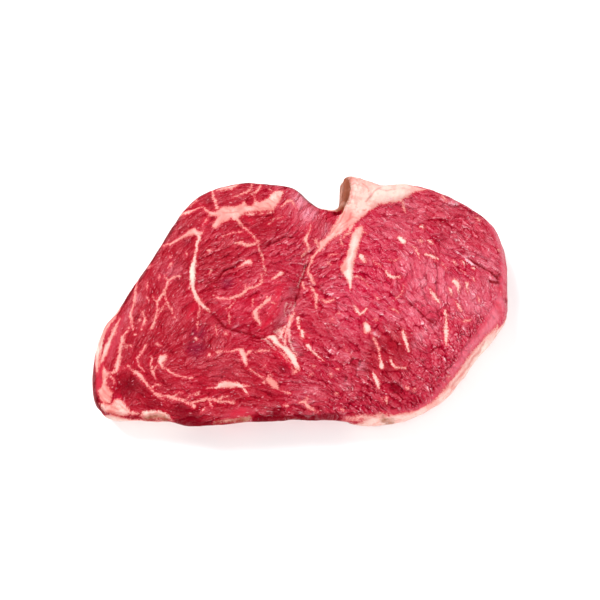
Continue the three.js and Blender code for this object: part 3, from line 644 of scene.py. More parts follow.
PURPLE = [
    (227, 283, 9, 0.9), (198, 334, 10, 0.9), (196, 349, 12, 0.9), (116, 398.5, 3, 0.9), (187, 242, 7, 0.4),
    (196, 362, 8, 0.4), (121, 326, 6, 0.3), (205, 258, 8, 0.2),
]

# Where the red is vivid rather than pale: place, radius in pixels, and how strongly.
VIVID = [
    (250, 308, 30, 0.9), (272, 290, 22, 0.8), (236, 290, 20, 0.6), (306, 222, 18, 0.7), (330, 216, 14, 0.8),
    (258, 340, 20, 0.5), (300, 340, 14, 0.5), (268, 365, 16, 0.5), (430, 214, 20, 0.3), (484, 236, 18, 0.6),
    (494, 280, 14, 0.5), (214, 232, 16, 0.5), (250, 244, 20, 0.5), (190, 300, 16, 0.4), (196, 382, 18, 0.4),
    (318, 310, 14, 0.4), (335, 250, 10, 0.5), (275, 250, 18, 0.4),
]

# The side wall: at each angle round the steak, in degrees, how high fat reaches, in mm, and how much painted shade
# darkens it above.
SIDE_WALL = [
    (-180, 8, 1), (-175, 17, 0.9), (-168, 19, 0.8), (-162, 5, 1), (-152, 4, 1), (-147, 15, 0.8), (-140, 12, 0.6),
    (-130, 4, 0.9), (-112, 3, 1), (-100, 3, 0.8), (-85, 2, 1), (-75, 2, 0.8), (-70, 4, 0.4), (-65, 12, 0.1),
    (-61, 17, 0), (-52, 16, 0), (-45, 14, 0), (-40, 14.5, 0), (-34, 15.5, 0), (-26, 16, 0), (-15, 15, 0), (-8, 12, 0),
    (-2, 6, 0), (8, 5, 0), (20, 10, 0), (35, 13, 0), (50, 18, 0.1), (60, 22, 0.2), (75, 22, 0.6), (84, 9, 0.7),
    (95, 8, 0.7), (110, 12, 0.8), (125, 10, 0.9), (135, 6, 1), (150, 5, 1), (165, 5, 1), (172, 6, 1), (180, 8, 1),
]

# The muscle grain: place; angle in the view, where rising to the right is positive; how many times longer
# than wide a bundle is; how far flakes and small beads stand out; and how deep the red is, from 0 to 1.
GRAIN = [
    # eye
    (355, 235, -30, 1.8, 0.35, 0.5, 0.3), (380, 228, -30, 1.9, 0.4, 0.5, 0.35), (385, 252, -38, 1.8, 0.6, 0.6, 0.3),
    (425, 240, -40, 1.8, 0.7, 0.6, 0.3), (410, 205, -20, 2, 0.5, 0.5, 0.45), (440, 214, -24, 2.4, 0.8, 0.7, 0.5),
    (470, 238, -35, 2.2, 0.9, 1, 0.45), (462, 262, -28, 3.4, 1, 0.6, 0.25), (492, 262, -32, 3, 0.9, 0.6, 0.25),
    (400, 274, -64, 2.6, 1, 0.5, 0.2), (426, 275, -82, 2.8, 1.1, 0.4, 0.2), (447, 292, -72, 2.6, 1, 0.6, 0.2),
    (470, 300, -68, 1.9, 0.7, 1.1, 0.3), (488, 296, -75, 1.8, 0.6, 0.8, 0.25), (360, 290, -34, 2.4, 0.8, 0.5, 0.15),
    (350, 322, -36, 3.2, 1, 0.4, 0.2), (388, 305, -40, 3.4, 1.1, 0.4, 0.15), (416, 312, -52, 2.2, 1.2, 0.4, 0.15),
    (398, 343, -44, 3.4, 1.2, 0.4, 0.8), (425, 345, -50, 2.4, 1.2, 0.9, 0.3), (440, 362, -45, 1.3, 0.6, 2, 0.35),
    (460, 335, -60, 1.4, 0.7, 1.8, 0.3), (425, 385, -40, 1.5, 0.4, 1.8, 0.5), (350, 350, -36, 3.4, 1.1, 0.4, 0.5),
    (335, 375, -32, 3.2, 1.2, 0.6, 0.55), (380, 362, -40, 3.6, 1.2, 0.4, 0.85), (352, 400, -30, 1.6, 0.8, 1.8, 0.6),
    (388, 400, -36, 2.4, 1.1, 0.9, 0.6), (322, 325, -26, 2.6, 0.8, 0.5, 0.55), (308, 372, -20, 3.4, 0.6, 0.5, 0.6),
    (302, 396, -12, 3, 0.7, 0.5, 0.6), (330, 268, 30, 1.7, 0.6, 0.7, 0.5),
    # near strap
    (270, 400, -10, 3, 0.5, 0.5, 0.8), (230, 397, 4, 2.6, 0.4, 0.4, 0.9), (212, 372, 6, 3.4, 0.4, 0.5, 0.9),
    (240, 372, -14, 3.2, 0.4, 0.5, 0.85), (264, 362, -38, 2.8, 0.5, 0.6, 0.8), (222, 342, 60, 2, 0.4, 0.5, 0.8),
    (256, 346, -8, 2.4, 0.4, 0.6, 0.75),
    # round muscle
    (226, 284, 25, 2.6, 0.3, 0.5, 0.8), (258, 276, 14, 2.8, 0.4, 0.4, 0.65), (245, 306, 32, 3, 0.15, 0.3, 0.55),
    (276, 312, 48, 2.8, 0.15, 0.3, 0.55), (240, 322, 20, 2.4, 0.15, 0.3, 0.6),
    # cap
    (216, 250, 30, 3.6, 0.4, 0.6, 0.85), (240, 258, 20, 3.4, 0.4, 0.6, 0.85), (256, 226, 20, 3, 0.2, 0.4, 0.9),
    (290, 250, 30, 2.4, 0.5, 0.5, 0.6), (286, 272, -8, 2.2, 0.5, 0.5, 0.6), (306, 216, 62, 3, 0.4, 0.6, 0.5),
    (232, 196, 12, 3, 0.15, 0.3, 0.8), (196, 228, 42, 2.6, 0.2, 0.4, 0.85), (322, 222, 55, 2.8, 0.4, 0.6, 0.6),
    # tail
    (168, 252, 50, 3, 0.2, 0.4, 0.85), (150, 300, 62, 3.2, 0.1, 0.4, 0.9), (128, 345, 72, 3.2, 0.1, 0.4, 0.9),
    (176, 322, 55, 3, 0.15, 0.4, 0.9), (176, 352, 30, 3, 0.2, 0.4, 1), (118, 390, 60, 2.4, 0.1, 0.4, 0.9),
    (152, 388, -26, 2.8, 0.3, 0.4, 0.95), (190, 386, -6, 3, 0.4, 0.4, 0.95),
]

# ---- Laying them on the mesh --------------------------------------------------------------------------

UNDER_SHIFT = 3.5 * MM  # how far the muscles of the underside lie from those on top
NONE = -20 * MM  # far outside of everything
REACH = 6 * MM  # how far from a route its distance is measured
REACH_DOWN = 3 * MM  # how far below its route a mark goes on down a side wall
CURVE_STEPS = 4
TINY = 1e-12
END_TAPER = 0.45  # the width of a vein at its ends, as a share of its own
UNBROKEN = 0.04 * MM  # widens the thin veins, so that their ragged edges do not part them
OPEN_CRACK = 0.5  # the share of a crack's depth that is cut into the relief, for painted shade stands in for the rest
TAN_FRAY = 1.3 * MM  # how far the tan patches wander on the side wall
WALL_FAT_FRAY = 1.5 * MM  # and the upper edge of its fat
FOOT = 1.0 * MM  # how much of the wall's foot stays free of fat

# How far each place belongs to the cut face on top, to the one underneath and to the wall between them.
top = smooth(facing[:, 2], TOP_FACING, 0.75)
under = smooth(-facing[:, 2], 0.5, 0.85)
wall = 1 - np.maximum(top, under)

# The same muscles show on the underside, a slice deeper: the pattern is shifted there by a soft noise.
plan = place.copy()
plan[:, :2] += sideways(28 * MM, 11, 47) * UNDER_SHIFT * (1 - place[:, 2:3] / place[:, 2].max())
# Nothing in meat runs straight: all routes are bent a little by a fine noise and a coarse one.
bend = sideways(2.2 * MM, 61, 67) * 0.35 * MM + sideways(5 * MM, 71, 77) * 0.4 * MM
# Low on the side walls they are bent more, because a route seen from above would run straight down there.
low_wall = wall * np.clip(1 - place[:, 2] / (18 * MM), 0, 1)
bend += sideways(6 * MM, 83, 89) * low_wall[:, None] * 2.4 * MM
bent = plan.copy()
bent[:, :2] += bend


def rounded(marks):
    """A Catmull-Rom curve through the marks."""
    ends = [2 * marks[0] - marks[1]] + list(marks) + [2 * marks[-1] - marks[-2]]
    curve = []
    for a, b, c, d in zip(ends, ends[1:], ends[2:], ends[3:]):
        for t in np.arange(CURVE_STEPS) / CURVE_STEPS:
            curve.append(0.5 * (2 * b + (c - a) * t + (2 * a - 5 * b + 4 * c - d) * t ** 2
                                + (3 * b - a - 3 * c + d) * t ** 3))
    return curve + [marks[-1]]


def cover(field, route, wide, used=2, curved=True):
    """Raises the field to (half width - distance) around a route, seen from above, or in space if used is 3."""
    marks = [np.append(landing(p[0], p[1])[:used], 0.5 * PX * (p[2] if len(p) > 2 else wide)) for p in route]
    if curved:
        marks = rounded(marks)
    for a, b in zip(marks, marks[1:]):
        low = np.minimum(a, b)[:used] - REACH
        high = np.maximum(a, b)[:used] + REACH
        near = np.flatnonzero(((bent[:, :used] > low) & (bent[:, :used] < high)).all(axis=1))
        step = (b - a)[:used]
        rel = bent[near, :used] - a[:used]
        t = np.clip(rel @ step / max(step @ step, TINY), 0, 1)
        away = np.linalg.norm(rel - t[:, None] * step, axis=1)
        field[near] = np.maximum(field[near], a[used] + (b[used] - a[used]) * t - away)


def inside(corners):
    """True where a place, seen from above, is inside a closed outline."""
    x, y = bent[:, 0], bent[:, 1]
    within = np.zeros(len(bent), bool)
    for a, b in zip(corners, corners[1:] + corners[:1]):
        crosses = (a[1] > y) != (b[1] > y)
        rise = b[1] - a[1] if b[1] != a[1] else TINY
        within ^= crosses & (x < a[0] + (y - a[1]) * (b[0] - a[0]) / rise)
    return within


def filled(outline):
    """The distance from a closed outline, positive inside."""
    edge = np.full(len(bent), NONE)
    cover(edge, outline + outline[:1], 0, curved=False)
    corners = [tuple(landing(x, y)[:2]) for x, y in outline]
    return np.where(inside(corners), np.clip(-edge, 0, REACH), edge)


def laid(routes, used=2):
    """How far inside the nearest of the routes a place is, or how far outside, below zero."""
    field = np.full(len(bent), NONE)
    for wide, route in routes:
        cover(field, route, wide, used)
    return field


def laid_in_depth(routes):
    """As laid, but on a side wall it ends a little below the route."""
    return np.minimum(laid(routes), laid(routes, used=3) + REACH_DOWN)


def tapered(routes):
    """The same routes, narrower at both ends, as veins are where they run into the meat."""
    thinner = []
    for wide, route in routes:
        middle = [tuple((a + b) / 2 for a, b in zip(route[0][:2], route[1][:2]))] if len(route) == 2 else []
        first, last = [mark if len(mark) > 2 else (*mark, wide * END_TAPER) for mark in (route[0], route[-1])]
        thinner.append((wide, [first, *(middle or route[1:-1]), last]))
    return thinner


def patches(marks):
    """Soft round patches of the strength that each mark gives."""
    field = np.zeros(len(bent))
    for x, y, radius, strength in marks:
        rel = bent - landing(x, y)
        rel[:, 2] *= 1 - under
        away = np.linalg.norm(rel, axis=1) / (radius * PX)
        patch = strength * np.exp(-(away ** 2))
        field = np.where(abs(patch) > abs(field), patch, field)
    return field


white = laid(tapered(WHITE_VEINS))
pink = laid(tapered(PINK_VEINS)) + UNBROKEN
fat = np.maximum.reduce([*map(filled, FAT_PATCHES.values()), white, pink, laid(EDGE_FAT)])
strand, membrane, flush = laid(FILM_STRANDS), laid(MEMBRANE), laid(FLUSH)
fold = laid_in_depth(FAT_FOLDS)
tan = np.maximum(laid([NOTCH_TAN]), laid_in_depth(TAN)) + TAN_FRAY * wall * wobble(place, 4 * MM, 91)

crack = np.full(len(place), NONE)
crack_depth = np.zeros(len(place))
for wide, depth, route in CRACKS:
    line = laid([(wide, route)])
    crack = np.maximum(crack, line)
    crack_depth = np.maximum(crack_depth, smooth(line, -0.4 * MM, 0.6 * MM) * OPEN_CRACK * depth)
ridge_height = np.zeros(len(place))
for wide, height, route in RIDGES:
    ridge_height = np.maximum(ridge_height, smooth(laid([(wide, route)]), -0.8 * MM, 0.8 * MM) * height)

# Fat on the side wall ends raggedly at its height, stays on the wall and leaves the foot of it bare.
angle = np.degrees(np.arctan2(place[:, 1], place[:, 0]))
wall_angles, fat_heights, wall_shade = np.array(SIDE_WALL).T
wall_fat = np.minimum.reduce([
    np.interp(angle, wall_angles, fat_heights) * MM + WALL_FAT_FRAY * wobble(place, 7 * MM, 5) - place[:, 2],
    (wall - 0.5) * 4 * MM,
    place[:, 2] - FOOT + 0.6 * MM * wobble(place, 5 * MM, 9)])

shade, purple, sheen, blush, vivid = map(patches, (SHADE, PURPLE, SHEEN, BLUSH, VIVID))
# Painted shade on the upper part of the side walls, as strong as the side wall table gives at each angle; it wins
# over weaker patches.
rim_shade = smooth(1 - facing[:, 2], 0.06, 0.5) * smooth(place[:, 2], 8 * MM, 14 * MM)
rim_shade *= np.interp(angle, wall_angles, wall_shade)
shade = np.where(rim_shade > abs(shade), rim_shade, shade)

# ---- Muscle bundles -----------------------------------------------------------------------------------

FLAKE_SPACING = 3.7 * MM  # coarse bundles, which part in flakes
BEAD_SPACING = 1.9 * MM  # the finer ones in them
FLAKE_TURN, BEAD_TURN = 0.18, 0.25  # how unevenly they are turned, in radians
SCATTER = 0.45  # how far off its place in an even grid a bundle's centre may be, as a share of the spacing
STRETCH_SPREAD = (0.6, 1.2)  # each bundle's share of the stretch that the grain marks give
NEIGHBOURS = 14  # candidates for the two nearest bundles, as long ones reach far
GRAIN_BLEND = 2 * MM  # round each grain mark, where its own grain holds before it blends into the next
FLAKE_LEVEL, FLAKE_TILT = 0.34, 0.46  # how much of a flake's relief is its own level, and how much its tilt
LIT_FROM = np.array([-0.5, 0.87])  # a flake's long slope faces this way, and its steep edge the other way
FLECK_SHARE = 0.93  # one bead in about thirty has a fleck of fat in it
FLECK_RADIUS = 0.45 * MM

grain_marks = np.array([landing(x, y)[:2] for x, y, *_ in GRAIN])
grain_angle = np.radians([g[2] for g in GRAIN])
grain_facts = np.array([g[3:] for g in GRAIN])


def grain_at(points):
    """The grain's angle, stretch, flake and bead relief and redness at places on the plan."""
    nearness = 1 / (np.linalg.norm(points[:, None] - grain_marks[None], axis=2) + GRAIN_BLEND) ** 4
    nearness /= nearness.sum(axis=1, keepdims=True)
    turn = 0.5 * np.arctan2(nearness @ np.sin(2 * grain_angle), nearness @ np.cos(2 * grain_angle))
    return turn, nearness @ grain_facts


rng = np.random.default_rng(7)


def bundles(points, spacing, turn_spread):
    """Splits the meat into cells that run along the grain. Gives, for each point's two nearest cells, the
    distance, the place along and across and the cell's number, and for all cells the angle."""
    low, high = points.min(axis=0) - 2 * spacing, points.max(axis=0) + 2 * spacing
    nx, ny = ((high - low) / spacing).astype(int) + 1
    seeds = np.stack(np.meshgrid(np.arange(nx), np.arange(ny), indexing="ij"), axis=-1).reshape(-1, 2).astype(float)
    seeds[:, 1] += 0.5 * (seeds[:, 0] % 2)
    seeds = low + (seeds + rng.uniform(-SCATTER, SCATTER, seeds.shape)) * spacing
    turn, facts = grain_at(seeds)
    turn += rng.normal(0, turn_spread, len(seeds))
    stretch = np.sqrt(facts[:, 0] * rng.uniform(*STRETCH_SPREAD, len(seeds)))
    finder = KDTree(len(seeds))
    for i, (x, y) in enumerate(seeds):
        finder.insert((x, y, 0), i)
    finder.balance()
    near = np.array([[hit[1] for hit in finder.find_n((x, y, 0), NEIGHBOURS)] for x, y in points])
    rel = points[:, None] - seeds[near]
    along = (rel[..., 0] * np.cos(turn[near]) + rel[..., 1] * np.sin(turn[near])) / stretch[near]
    across = (rel[..., 1] * np.cos(turn[near]) - rel[..., 0] * np.sin(turn[near])) * stretch[near]
    distance = np.hypot(along, across)
    order = np.argsort(distance, axis=1)[:, :2]
    return [np.take_along_axis(values, order, axis=1) for values in (distance, along, across, near)], turn


folded = plan[:, :2] + sideways(4.5 * MM, 3, 8) * 0.8 * MM
folded += sideways(1.5 * MM, 13, 18) * 0.22 * MM
(flake_far, flake_along, flake_across, flake), flake_turn = bundles(folded, FLAKE_SPACING, FLAKE_TURN)
(bead_far, _, _, bead), bead_turn = bundles(folded, BEAD_SPACING, BEAD_TURN)
flake_level, bead_level = [rng.uniform(-1, 1, len(turn)) for turn in (flake_turn, bead_turn)]
flake_tone, bead_tone = [rng.uniform(-1, 1, len(turn)) for turn in (flake_turn, bead_turn)]
flake_tone, bead_tone = flake_tone[flake[:, 0]], bead_tone[bead[:, 0]]
flake_gap = flake_far[:, 1] - flake_far[:, 0]
bead_gap = bead_far[:, 1] - bead_far[:, 0]
_, flakes, beads, deep = grain_at(plan[:, :2])[1].T

# Each flake lies at its own level and is tilted, so that it stands over its neighbour on one side.
faces_light = LIT_FROM[1] * np.cos(flake_turn) - LIT_FROM[0] * np.sin(flake_turn)
tilt = -faces_light[flake] * flake_across / (0.5 * FLAKE_SPACING)
levels = FLAKE_LEVEL * flake_level[flake] + FLAKE_TILT * tilt
own_side = 0.5 + 0.5 * smooth(flake_gap, 0, 0.8 * MM)
flake_height = levels[:, 0] * own_side + levels[:, 1] * (1 - own_side)
flake_slit = (1 - smooth(flake_gap, 0, 1.0 * MM)) * smooth(wobble(place, 6 * MM, 29), -0.35, 0.35)
bead_round = smooth(bead_gap, 0, 1.0 * MM)
swell = wobble(plan, 6 * MM, 21)
broad = wobble(plan, 17 * MM, 33)

# ---- Relief -------------------------------------------------------------------------------------------

# How far things stand out of the lean or of the wall, in mm. The rise of flakes is scaled by the grain marks,
# and so are the slits between them and all that is said of the beads.
FLAKE_RISE = 1.25
SLIT = 0.3
BEAD_RISE, BEAD_LEVELS, BEAD_SINK = 0.25, 0.1, 0.12
SWELL_RISE = 0.2
FAT_STEP = 0.25
FAT_LUMPS = 0.6
WALL_LUMPS = 0.45
WALL_FAT_STEP = 0.35

plain = np.maximum.reduce([smooth(np.maximum(fat, wall_fat), -0.3 * MM, 0.3 * MM),
                           smooth(membrane, -0.6 * MM, 0.6 * MM), 0.6 * smooth(strand, -0.5 * MM, 0.5 * MM)])
cut = np.maximum(top, 0.8 * under)
relief = FLAKE_RISE * flakes * (flake_height - SLIT * flake_slit) + ridge_height
relief += beads * (BEAD_RISE * bead_round + BEAD_LEVELS * bead_level[bead[:, 0]] - BEAD_SINK)
relief += SWELL_RISE * (0.4 + flakes) * swell
relief *= (1 - plain) * cut
relief += FAT_STEP * smooth(fat, -0.3 * MM, 0.8 * MM) * cut
fat_lumps = 0.4 + wobble(place, 4 * MM, 2) + 0.6 * wobble(place, 1.8 * MM, 6)
relief += FAT_LUMPS * smooth(fat, 0.4 * MM, 2.6 * MM) * fat_lumps * top
relief -= crack_depth * np.maximum(top, 0.5 * under)
relief += wall * (WALL_LUMPS * wobble(place * (1, 1, 2.2), 6 * MM, 14)
                  + WALL_FAT_STEP * smooth(wall_fat, -0.5 * MM, 1.5 * MM))
moved = place + facing * relief[:, None] * MM
moved[:, 2] = np.maximum(moved[:, 2], 0)
mesh.vertices.foreach_set("co", moved.astype(np.float32).ravel())
mesh.update()

# ---- What the material reads --------------------------------------------------------------------------

MEAN_TONE = 0.49  # tone is how pale the lean is, from 0 to 1, and each part of the grain adds its own to the mean
# Part of the tone is painted light: a flake grows paler up its tilt towards its crest, the tops of raised folds are
# paler as a painted highlight, and the gaps between beads are darker as painted shade.
tone = MEAN_TONE + 0.09 * flake_tone + 0.1 * swell + 0.06 * broad + 0.2 * ridge_height
tone += (0.15 + flakes) * 0.26 * levels[:, 0] + beads * 0.14 * (bead_round - 0.6) + 0.2 * np.clip(-shade, 0, 1)
# Painted light on each flake's edge: painted shade on the lee side, and a painted wet highlight on its crest.
ridge = 0.45 * smooth(tilt[:, 0], 0.0, 0.6) - 0.5 * smooth(-tilt[:, 0], -0.3, 0.4)
ridge *= np.clip(flakes + 0.15, 0, 1.2) * (0.35 + 0.65 * smooth(wobble(place, 5 * MM, 29), -0.3, 0.3))
fleck = np.where(bead_tone > FLECK_SHARE, FLECK_RADIUS - bead_far[:, 0], NONE)

# How far inside a thing's edge a place is, in mm, or how far outside, below zero.
INSIDE = {"fat": fat, "wall_fat": wall_fat, "white": white, "strand": strand, "fleck": fleck, "membrane": membrane,
          "tan": tan, "crack": crack, "flush": flush, "fold": fold, "gap": flake_gap}
# How much of a thing there is, mostly from 0 to 1.
AMOUNT = {"shade": shade, "purple": purple, "blush": blush, "vivid": vivid, "sheen": sheen, "ridge": ridge,
          "beads": beads, "tone": tone, "deep": np.clip(1.15 * deep + 0.12 * broad, 0, 1)}
# Where a place is along and across its flake, in mm. A fibre's lit side is always on the same side.
uphill = np.where(faces_light[flake[:, 0]] > 0, 1, -1)
fibre = np.stack([flake_along[:, 0] / MM, uphill * flake_across[:, 0] / MM, 9 * flake_tone], axis=1)


def store(name, values, kind="FLOAT"):
    layer = mesh.attributes.new(name, kind, "POINT")
    layer.data.foreach_set("value" if kind == "FLOAT" else "vector", values.astype(np.float32).ravel())


for name, values in INSIDE.items():
    store(name, values / MM)
for name, values in AMOUNT.items():
    store(name, values)
store("fibre", fibre, "FLOAT_VECTOR")

# ---- Materials ----------------------------------------------------------------------------------------


def linear(hex_colour):
    parts = [int(hex_colour[i:i + 2], 16) / 255 for i in (1, 3, 5)]
    return tuple(c / 12.92 if c <= 0.04045 else ((c + 0.055) / 1.055) ** 2.4 for c in parts) + (1.0,)


def add_node(tree, kind, settings, give, **inputs):
    """Adds a shader node and returns one of its outputs. Inputs are links, values or hex colours, by the socket's
    name or iNUMBER."""
    node = tree.nodes.new("ShaderNode" + kind)
    for key, value in settings.items():
        if key == "stops":
            stops = node.color_ramp.elements
            while len(stops) < len(value):
                stops.new(0.5)
            for stop, (position, colour) in zip(stops, value):
                stop.position, stop.color = position, linear(colour)
        else:
            setattr(node, key, value)
    for key, value in inputs.items():
        socket = node.inputs[int(key[1:]) if key[1:].isdigit() else key.replace("_", " ")]
        if isinstance(value, bpy.types.NodeSocket):
            tree.links.new(value, socket)
        else:
            socket.default_value = linear(value) if isinstance(value, str) else value
    return node.outputs[give]


SOFT = {"interpolation_type": "SMOOTHSTEP"}
COLOUR = {"data_type": "RGBA"}  # a colour mix: input 0 is the share, 6 and 7 the colours, and output 2 the result
SUM, PRODUCT, PRODUCT_SUM, LARGER = [{"operation": name} for name in ("ADD", "MULTIPLY", "MULTIPLY_ADD", "MAXIMUM")]

# The lean from its darkest tone to its palest: pinker in the eye, a deeper red in the tail and the cap, and a
# vivid one in some of the muscles between them.
EYE_REDS = [(0, "#86001C"), (0.14, "#9C0226"), (0.36, "#AE2842"), (0.5, "#B84456"), (0.66, "#C05668"),
            (0.82, "#CE7A88"), (1, "#DAAAB4")]
TAIL_REDS = [(0, "#5E000C"), (0.14, "#760212"), (0.36, "#8C0E1E"), (0.5, "#921A28"), (0.7, "#A2303C"),
             (0.85, "#B65A60"), (1, "#C69296")]
VIVID_REDS = [(0, "#7C000C"), (0.14, "#940216"), (0.5, "#A81E34"), (0.8, "#BE4454"), (1, "#D08088")]
# Fat is pink where it is thin and paler where it is thick.
FAT_TONES = [(0, "#B23E4C"), (0.18, "#C4746E"), (0.45, "#CA9A94"), (1, "#CCAEA4")]


def raw_beef():
    """Raw beef, cut with a knife and wet with its own juice: deep red, a little see-through, and glossy in
    small broken glints, because the juice lies in the grain. Fat is waxier, paler and smoother."""
    meat = bpy.data.materials.new("raw beef")
    meat.use_nodes = True
    shader = meat.node_tree.nodes["Principled BSDF"]
    add = partial(add_node, meat.node_tree)
    field = {name: add("Attribute", {"attribute_name": name}, "Fac") for name in (*INSIDE, *AMOUNT)}
    fibre_at = add("Attribute", {"attribute_name": "fibre"}, "Vector")
    at = add("TexCoord", {}, "Object")

    # Juice and fibre ends make a grit of 0.7 mm, the edges of fat are ragged at 1.4 mm, the grain stands
    # open in patches of 4.5 mm, and the skin over the edge changes over 11 mm.
    grit, ragged, open_patch, skin_patch = [
        add("TexNoise", {}, "Fac", Vector=at, Scale=1 / (size * MM), Detail=detail, Roughness=rough)
        for size, detail, rough in ((0.7, 2, 0.6), (1.4, 3, 0.65), (4.5, 1, 0.5), (11, 3, 0.5))]
    # Fibres show as threads about 0.7 mm wide and 2 mm long.
    threads = add("Mapping", {}, "Vector", Vector=fibre_at, Scale=(1 / 2, 1.5, 1))
    thread = add("TexNoise", {}, "Fac", Vector=threads, Scale=1, Detail=3, Roughness=0.6, Distortion=0.4)
    # They lie in bundles 1.5 mm wide and 3.8 mm long, which are bent by about 0.3 mm.
    sway = add("TexNoise", {}, "Color", Vector=at, Scale=1 / (1.8 * MM), Detail=1)
    sway = add("VectorMath", PRODUCT_SUM, 0, i0=sway, i1=(1.4, 1.4, 0), i2=fibre_at)
    bundle_at = add("Mapping", {}, "Vector", Vector=sway, Scale=(1 / 3.8, 1 / 1.5, 1))
    bundle_centre = add("TexVoronoi", {"feature": "F1"}, "Position", Vector=bundle_at, Scale=1)
    bundle_edge = add("TexVoronoi", {"feature": "DISTANCE_TO_EDGE"}, "Distance", Vector=bundle_at, Scale=1)
    off_centre = add("VectorMath", {"operation": "SUBTRACT"}, 0, i0=bundle_at, i1=bundle_centre)
    uphill = add("SeparateXYZ", {}, "Y", Vector=off_centre)
    # The smallest flecks of fat are 0.5 mm across, and four in ten places of 1.9 by 1.3 mm have one.
    speck_at = add("Mapping", {}, "Vector", Vector=sway, Scale=(1 / 1.9, 1 / 1.3, 1))
    speck = add("TexVoronoi", {"feature": "F1"}, "Distance", Vector=speck_at, Scale=1)
    has_speck = add("Math", {"operation": "GREATER_THAN"}, 0, i0=speck.node.outputs["Color"], i1=0.6)

    # All edges are frayed by the fine noises.
    by_fray = add("Math", SUM, 0, i0=add("Math", SUM, 0, i0=ragged, i1=thread), i1=grit)
    fray = add("MapRange", {}, "Result", Value=by_fray, From_Min=1.15, From_Max=1.85, To_Min=-0.45, To_Max=0.5)
    frayed = {name: add("Math", SUM, 0, i0=field[name], i1=fray)
              for name in ("fat", "wall_fat", "white", "tan", "strand")}
    any_fat = add("Math", LARGER, 0, i0=frayed["fat"], i1=frayed["wall_fat"])
    frayed_crack = add("Math", PRODUCT_SUM, 0, i0=by_fray, i1=1.1, i2=field["crack"])
    rosiness = add("Math", SUM, 0, i0=ragged, i1=open_patch)

    # What shows how much: the value it reads, two readings, and what it is at each of them.
    shown = {name: add("MapRange", SOFT, "Result", Value=value, From_Min=low, From_Max=high, To_Min=at_low,
                       To_Max=at_high)
             for name, value, low, high, at_low, at_high in (
                 ("edge of a bundle", bundle_edge, 0, 0.15, 1, 0),
                 ("crest or gap", uphill, -0.25, 0.25, -0.32, 0.2),
                 ("open grain", open_patch, 0.35, 0.62, 0.25, 1.25),
                 ("thread", thread, 0.3, 0.7, -0.09, 0.09),
                 ("grit", grit, 0.3, 0.7, -0.08, 0.08),
                 ("edge of a flake", field["gap"], 0.1, 1, 1, 0),
                 ("dark", field["shade"], 0.1, 1, 0, 0.8),
                 ("pale", field["shade"], -1, 0, 0.35, 0),
                 ("purple", field["purple"], 0.1, 1, 0, 0.6),
                 ("wet thread", thread, 0.36, 0.6, 0, 0.95),
                 ("crack", frayed_crack, 1.6, 2.3, 0, 0.9),
                 ("skin patch", skin_patch, 0.35, 0.65, 0, 1),
                 ("outermost skin", field["membrane"], 0.8, 2.8, 0, 0.75),
                 ("skin", field["membrane"], -1.2, 1.3, 0, 0.85),
                 ("flush", field["flush"], -1.6, 1.6, 0, 0.6),
                 ("red beside fat", any_fat, -1.5, -0.2, 0, 0.35),
                 ("white", frayed["white"], -0.2, 1, 0, 1),
                 ("rosy", rosiness, 0.92, 1.2, 0, 0.6),
                 ("warm fat", field["blush"], 0, 1, 0, 0.9),
                 ("pale fat", field["blush"], -1, 0, 0.9, 0),
                 ("fold", field["fold"], -0.4, 0.5, 0, 0.6),
                 ("tan", frayed["tan"], -1.3, 1, 0, 0.95),
                 ("light tan", open_patch, 0.4, 0.62, 0, 1),
                 ("fat", any_fat, -0.55, 0.55, 0, 1),
                 ("strand", frayed["strand"], -0.3, 0.7, 0, 0.7),
                 ("fleck", field["fleck"], -0.2, 0.3, 0, 0.6),
                 ("speck", speck, 0.08, 0.26, 0.7, 0),
                 ("rough", grit, 0.3, 0.7, 0.22, 0.45),
                 ("waxy", ragged, 0.3, 0.7, -0.12, 0.12))}

    # Painted light on each bundle: it slopes from a painted highlight on its crest down to painted shade in the gap
    # on its lee side.
    bundle_slope_shading = add("MapRange", {}, "Result", Value=uphill, From_Min=-0.5, From_Max=0.5, To_Min=-0.16, To_Max=0.14)
    bundle_crest_and_gap_shading = add("Math", PRODUCT_SUM, 0, i0=shown["edge of a bundle"], i1=shown["crest or gap"], i2=bundle_slope_shading)
    loose = add("MapRange", {}, "Result", Value=field["beads"], From_Max=1.2, To_Min=0.35, To_Max=1)
    loose = add("Math", PRODUCT, 0, i0=loose, i1=shown["open grain"])
    # This holds the bundles' painted highlight and shade as well as the threads and grit, and also serves as the
    # bump's height.
    small = add("Math", PRODUCT_SUM, 0, i0=bundle_crest_and_gap_shading, i1=loose, i2=shown["thread"])
    small = add("Math", SUM, 0, i0=small, i1=shown["grit"])
    # Here the flakes' edges get their painted crest highlight and lee shade.
    tone = add("Math", PRODUCT_SUM, 0, i0=shown["edge of a flake"], i1=field["ridge"], i2=field["tone"])
    tone = add("Math", SUM, 0, i0=tone, i1=small)
    eye_red, tail_red, vivid_red = [add("ValToRGB", {"stops": stops}, 0, Fac=tone)
                                    for stops in (EYE_REDS, TAIL_REDS, VIVID_REDS)]

    # the skin over the edge: smooth and evenly red, painted paler at its outermost part as painted light on the outer
    # edge
    skin = add("Mix", COLOUR, 2, i0=shown["skin patch"], i6="#CC4458", i7="#D86478")
    for share, coat in ((shown["outermost skin"], "#DE8090"), (field["deep"], "#A83040")):
        skin = add("Mix", COLOUR, 2, i0=share, i6=skin, i7=coat)

